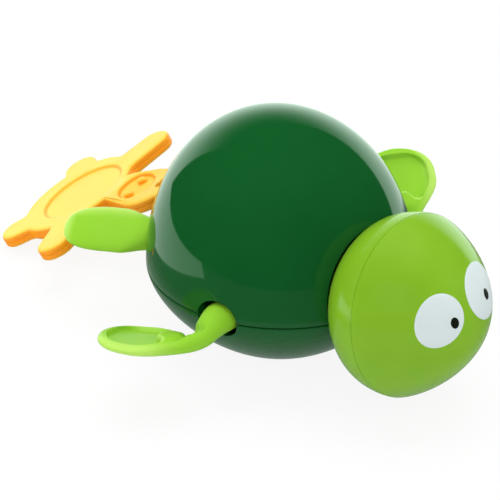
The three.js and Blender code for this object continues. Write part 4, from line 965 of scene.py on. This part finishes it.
def makeTag():
    outline = tagOutline()
    thick, deep, size = tagSet["thick"], tagSet["recess"], tagSet["round"]
    middle = Vector((tagSet["centre"], 0))

    def oval(turn, grow):  # where a ray from the middle leaves the sunk oval
        semiX, semiY = tagSet["back"][0] + grow, tagSet["back"][1] + grow
        c, s = math.cos(turn), math.sin(turn)
        shift = (tagSet["centre"] - tagSet["backAt"]) / semiX
        a, b = (c / semiX) ** 2 + (s / semiY) ** 2, 2 * shift * c / semiX
        reach = (-b + math.sqrt(b * b - 4 * a * (shift * shift - 1))) / (2 * a)
        return middle + Vector((c, s)) * reach

    half = [("floor", 0.0, deep), ("floor", 0.4, deep), ("floor", 0.75, deep), ("oval", -1.1, deep),
            ("oval", -0.75, deep), ("oval", -0.4, deep - 0.12), ("oval", -0.05, deep - 0.4), ("oval", 0.25, 0.14),
            ("oval", 0.6, 0.0)]
    half += [("between", share, 0.0) for share in (0.15, 0.35, 0.55, 0.75, 0.9)]
    for step in range(8):
        turn = step / 7 * math.pi / 2
        half.append(("edge", size * (1 - math.sin(turn)), size * (1 - math.cos(turn))))
    half += [("edge", 0.0, 1.6), ("edge", 0.0, 2.0), ("edge", 0.2, 2.2)]
    levels = [(kind, value, -depth) for kind, value, depth in half]
    levels += [(kind, value, depth - thick) for kind, value, depth in half[::-1]]
    rings = []
    for kind, value, height in levels:
        ring = []
        for point, normal, turn in outline:
            if kind == "floor":
                flat = mix(middle, oval(turn, 0), value)
            elif kind == "oval":
                flat = oval(turn, value)
            elif kind == "between":
                flat = mix(oval(turn, 0.6), point - normal * size, value)
            else:
                flat = point - normal * value
            ring.append((flat.x, flat.y, height))
        rings.append(ring)
    piece = lofted("pullTagTurtle", rings)
    wide, low = tagSet["face"][1], -tagSet["faceDepth"]
    pocket = spunProfile("facePocket", [(0, low), (wide - 2, low), (wide - 0.8, low), (wide - 0.45, low + 0.12),
                                        (wide - 0.22, low + 0.4), (wide - 0.05, -0.35), (wide + 0.1, -0.12),
                                        (wide + 0.35, 0.01), (wide + 0.5, 0.5), (0, 0.5)], 96)
    stretch = Matrix.Diagonal((tagSet["face"][0] / wide, 1, 1, 1))
    place(pocket, Matrix.Translation((tagSet["faceAt"] * mm, 0, 0)) @ stretch)
    combine(piece, pocket)
    for hand in (1, -1):
        eye = tagSet["eye"]
        bead = spunProfile("tagEye", [(0, 0.0), (0.3 * eye, -0.02), (0.55 * eye, -0.1), (0.75 * eye, -0.25),
                                      (0.9 * eye, -0.55), (eye, -1.0), (eye, -1.6), (0, -1.6)], 40)
        place(bead, Matrix.Translation((tagSet["eyesAt"] * mm, hand * tagSet["eyes"] * mm, 0)))
        combine(piece, bead, "UNION")
    holeX, holeWide = tagSet["hole"]
    combine(piece, rod("noseHole", holeWide, (holeX, 0, -8), (holeX, 0, 3), 48))
    tagPaintedShade(piece)
    for corner in piece.data.vertices:  # the head bends down a little
        corner.co.z -= tagSet["bend"] * smooth(tagSet["bendFrom"], tagSet["bendTo"], corner.co.x / mm) * mm
    place(piece, tagFrame)
    soften(piece, 38)
    return piece


pullTag = makeTag()
finishPiece(pullTag, tagYellow, "tag", "tag", "pull_tag")
print("pull tag modelled")


# cord, loop, knot, winding and bushing

cordSet = {"radius": 0.6, "from": -14.9, "to": -43.99, "height": 32.0, "turns": 5, "pitch": 1.65, "wind": 8.0,
           "drum": (-14.0, 24.0), "knot": (-45.99, 0.0, 32.0), "roundness": 0.6, "loopAt": (-1.7, -2.3),
           "loop": (2.9, 3.5), "knotReach": (0.75, 0.38), "knotDeep": 0.42, "knotTube": 0.56, "bushingX": -41.1}


def tubeRings(points, radius, sides=14, looped=False):
    rings = []
    count = len(points)
    side = None
    for index, point in enumerate(points):
        ahead = points[(index + 1) % count] if looped or index < count - 1 else point
        behind = points[index - 1] if looped or index > 0 else point
        along = (ahead - behind).normalized()
        if side is None:
            side = along.orthogonal().normalized()
        side = (side - along * side.dot(along)).normalized()
        up = along.cross(side)
        rings.append([point + side * radius * math.cos(k / sides * 2 * math.pi)
                      + up * radius * math.sin(k / sides * 2 * math.pi) for k in range(sides)])
    return rings


def makeCord():
    count = 60
    points = []
    for k in range(count + 1):
        points.append(Vector((mix(cordSet["from"], cordSet["to"], k / count), 0, cordSet["height"])))
    piece = lofted("pullCordLine", tubeRings(points, cordSet["radius"]))
    soften(piece, 50)
    finishPiece(piece, cordYellow, None, "cord", "pull_cord")
    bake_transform(piece)


def makeWinding():
    points = []
    steps = cordSet["turns"] * 40
    for step in range(steps + 1):
        share = 1 - step / steps
        angle = math.pi / 2 - share * cordSet["turns"] * 2 * math.pi
        x = cordSet["drum"][0] + cordSet["wind"] * math.cos(angle)
        z = cordSet["drum"][1] + cordSet["wind"] * math.sin(angle)
        points.append(Vector((x, share * cordSet["turns"] * cordSet["pitch"], z)))
    piece = lofted("cordTurns", tubeRings(points, cordSet["radius"], 12))
    soften(piece, 50)
    finishPiece(piece, cordYellow, "drum", "cord", "cord_winding")


def makeLoop():
    halfLong, halfTall = cordSet["loop"]
    middleX, middleZ = cordSet["loopAt"]
    points = []
    for step in range(64):
        turn = step / 64 * 2 * math.pi
        c, s = math.cos(turn), math.sin(turn)
        x = middleX + halfLong * math.copysign(abs(c) ** cordSet["roundness"], c)
        z = middleZ - tagSet["bend"] + halfTall * math.copysign(abs(s) ** cordSet["roundness"], s)
        points.append(tagFrame @ (Vector((x, 0, z)) * mm) / mm)
    loop = lofted("tagLoop", tubeRings(points, cordSet["radius"], 14, True), True)
    knot = []
    for step in range(120):  # overhand knot
        turn = step / 120 * 2 * math.pi
        reach = cordSet["knotReach"][0] + cordSet["knotReach"][1] * math.cos(3 * turn)
        offset = (cordSet["knotDeep"] * math.sin(3 * turn), reach * math.cos(2 * turn), reach * math.sin(2 * turn))
        knot.append(Vector(cordSet["knot"]) + Vector(offset))
    tie = lofted("knotTube", tubeRings(knot, cordSet["knotTube"], 12, True), True)
    pick(loop)
    tie.select_set(True)
    bpy.ops.object.join()
    soften(loop, 50)
    finishPiece(loop, cordYellow, "tag", "cord", "cord_loop")


def makeBushing():
    profile = [(1.2, -0.9), (1.5, -1.2), (3.4, -1.2), (3.7, -1.05), (3.8, -0.75), (3.8, -0.2), (3.6, 0.0), (2.4, 0.0),
               (2.4, 4.2), (1.2, 4.2), (1.2, -0.9)]
    piece = spunProfile("cordGuideRing", profile, 64)
    along = Matrix(((0, 0, 1), (0, 1, 0), (-1, 0, 0))).to_4x4()
    place(piece, Matrix.Translation((cordSet["bushingX"] * mm, 0, cordSet["height"] * mm)) @ along)
    soften(piece, 40)
    finishPiece(piece, tagYellow, "shell", "tag", "cord_bushing")


makeCord()
makeWinding()
makeLoop()
makeBushing()
print("cord pieces modelled")


# shell screws with a cross recess

screwSet = {"head": 2.4, "tall": 1.6, "seat": 19.15, "shank": 1.25, "top": 34.65, "threads": 10,
            "threadFrom": 21.5, "threadTo": 34.0, "threadDeep": 0.18, "slot": (2.6, 0.6, 1.6)}


def makeScrew(end, side, x, y):
    low = screwSet["seat"] - screwSet["tall"]
    wide = screwSet["head"]
    profile = [(0, low), (wide - 0.35, low), (wide - 0.1, low + 0.1), (wide, low + 0.35),
               (wide, screwSet["seat"]), (screwSet["shank"], screwSet["seat"])]
    for turn in range(screwSet["threads"] + 1):  # shallow thread ridges
        height = mix(screwSet["threadFrom"], screwSet["threadTo"], turn / screwSet["threads"])
        profile += [(screwSet["shank"] - screwSet["threadDeep"], height), (screwSet["shank"], height + 0.5)]
    profile += [(0.4, screwSet["top"]), (0, screwSet["top"])]
    piece = spunProfile("shellScrew_" + end + "_" + side, profile, 40)
    long, narrow, deep = screwSet["slot"]
    for size in ((long, narrow, deep), (narrow, long, deep)):
        startClean()
        bpy.ops.mesh.primitive_cube_add(size=1, location=(0, 0, low * mm))
        slotBar = bpy.context.object
        slotBar.scale = Vector(size) * mm
        bpy.ops.object.transform_apply(location=True, rotation=True, scale=True)
        combine(piece, slotBar)
    place(piece, Matrix.Translation((x * mm, y * mm, 0)))
    soften(piece, 35)
    finishPiece(piece, bareSteel, "shell", "steel", "shell_screw_" + end + "_" + side)


for end, (x, y) in zip(("front", "rear"), holeSet["bosses"]):
    for side, hand in (("left", 1), ("right", -1)):
        makeScrew(end, side, x, hand * y)
print("screws modelled")


# inner mechanism keeps its solids

innerFinish = {"axle_pinion": gearIvory, "idler_gear": gearIvory, "clutch_gear": gearIvory, "clutch_pawl": gearIvory,
               "cord_drum": gearIvory, "spring_barrel": gearIvory,
               "gearbox_left": gearboxGrey, "gearbox_right": gearboxGrey,
               "drum_shaft": bareSteel, "idler_shaft": bareSteel, "front_axle": bareSteel, "mainspring": bareSteel,
               "axle_bush_left": bushBrass, "axle_bush_right": bushBrass}
for name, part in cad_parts.items():
    finish = innerFinish.get(name, bareSteel if "screw" in name else None)
    if finish and not part.hide_render:
        part.data.materials.clear()
        part.data.materials.append(finish)
print("inner mechanism finished")
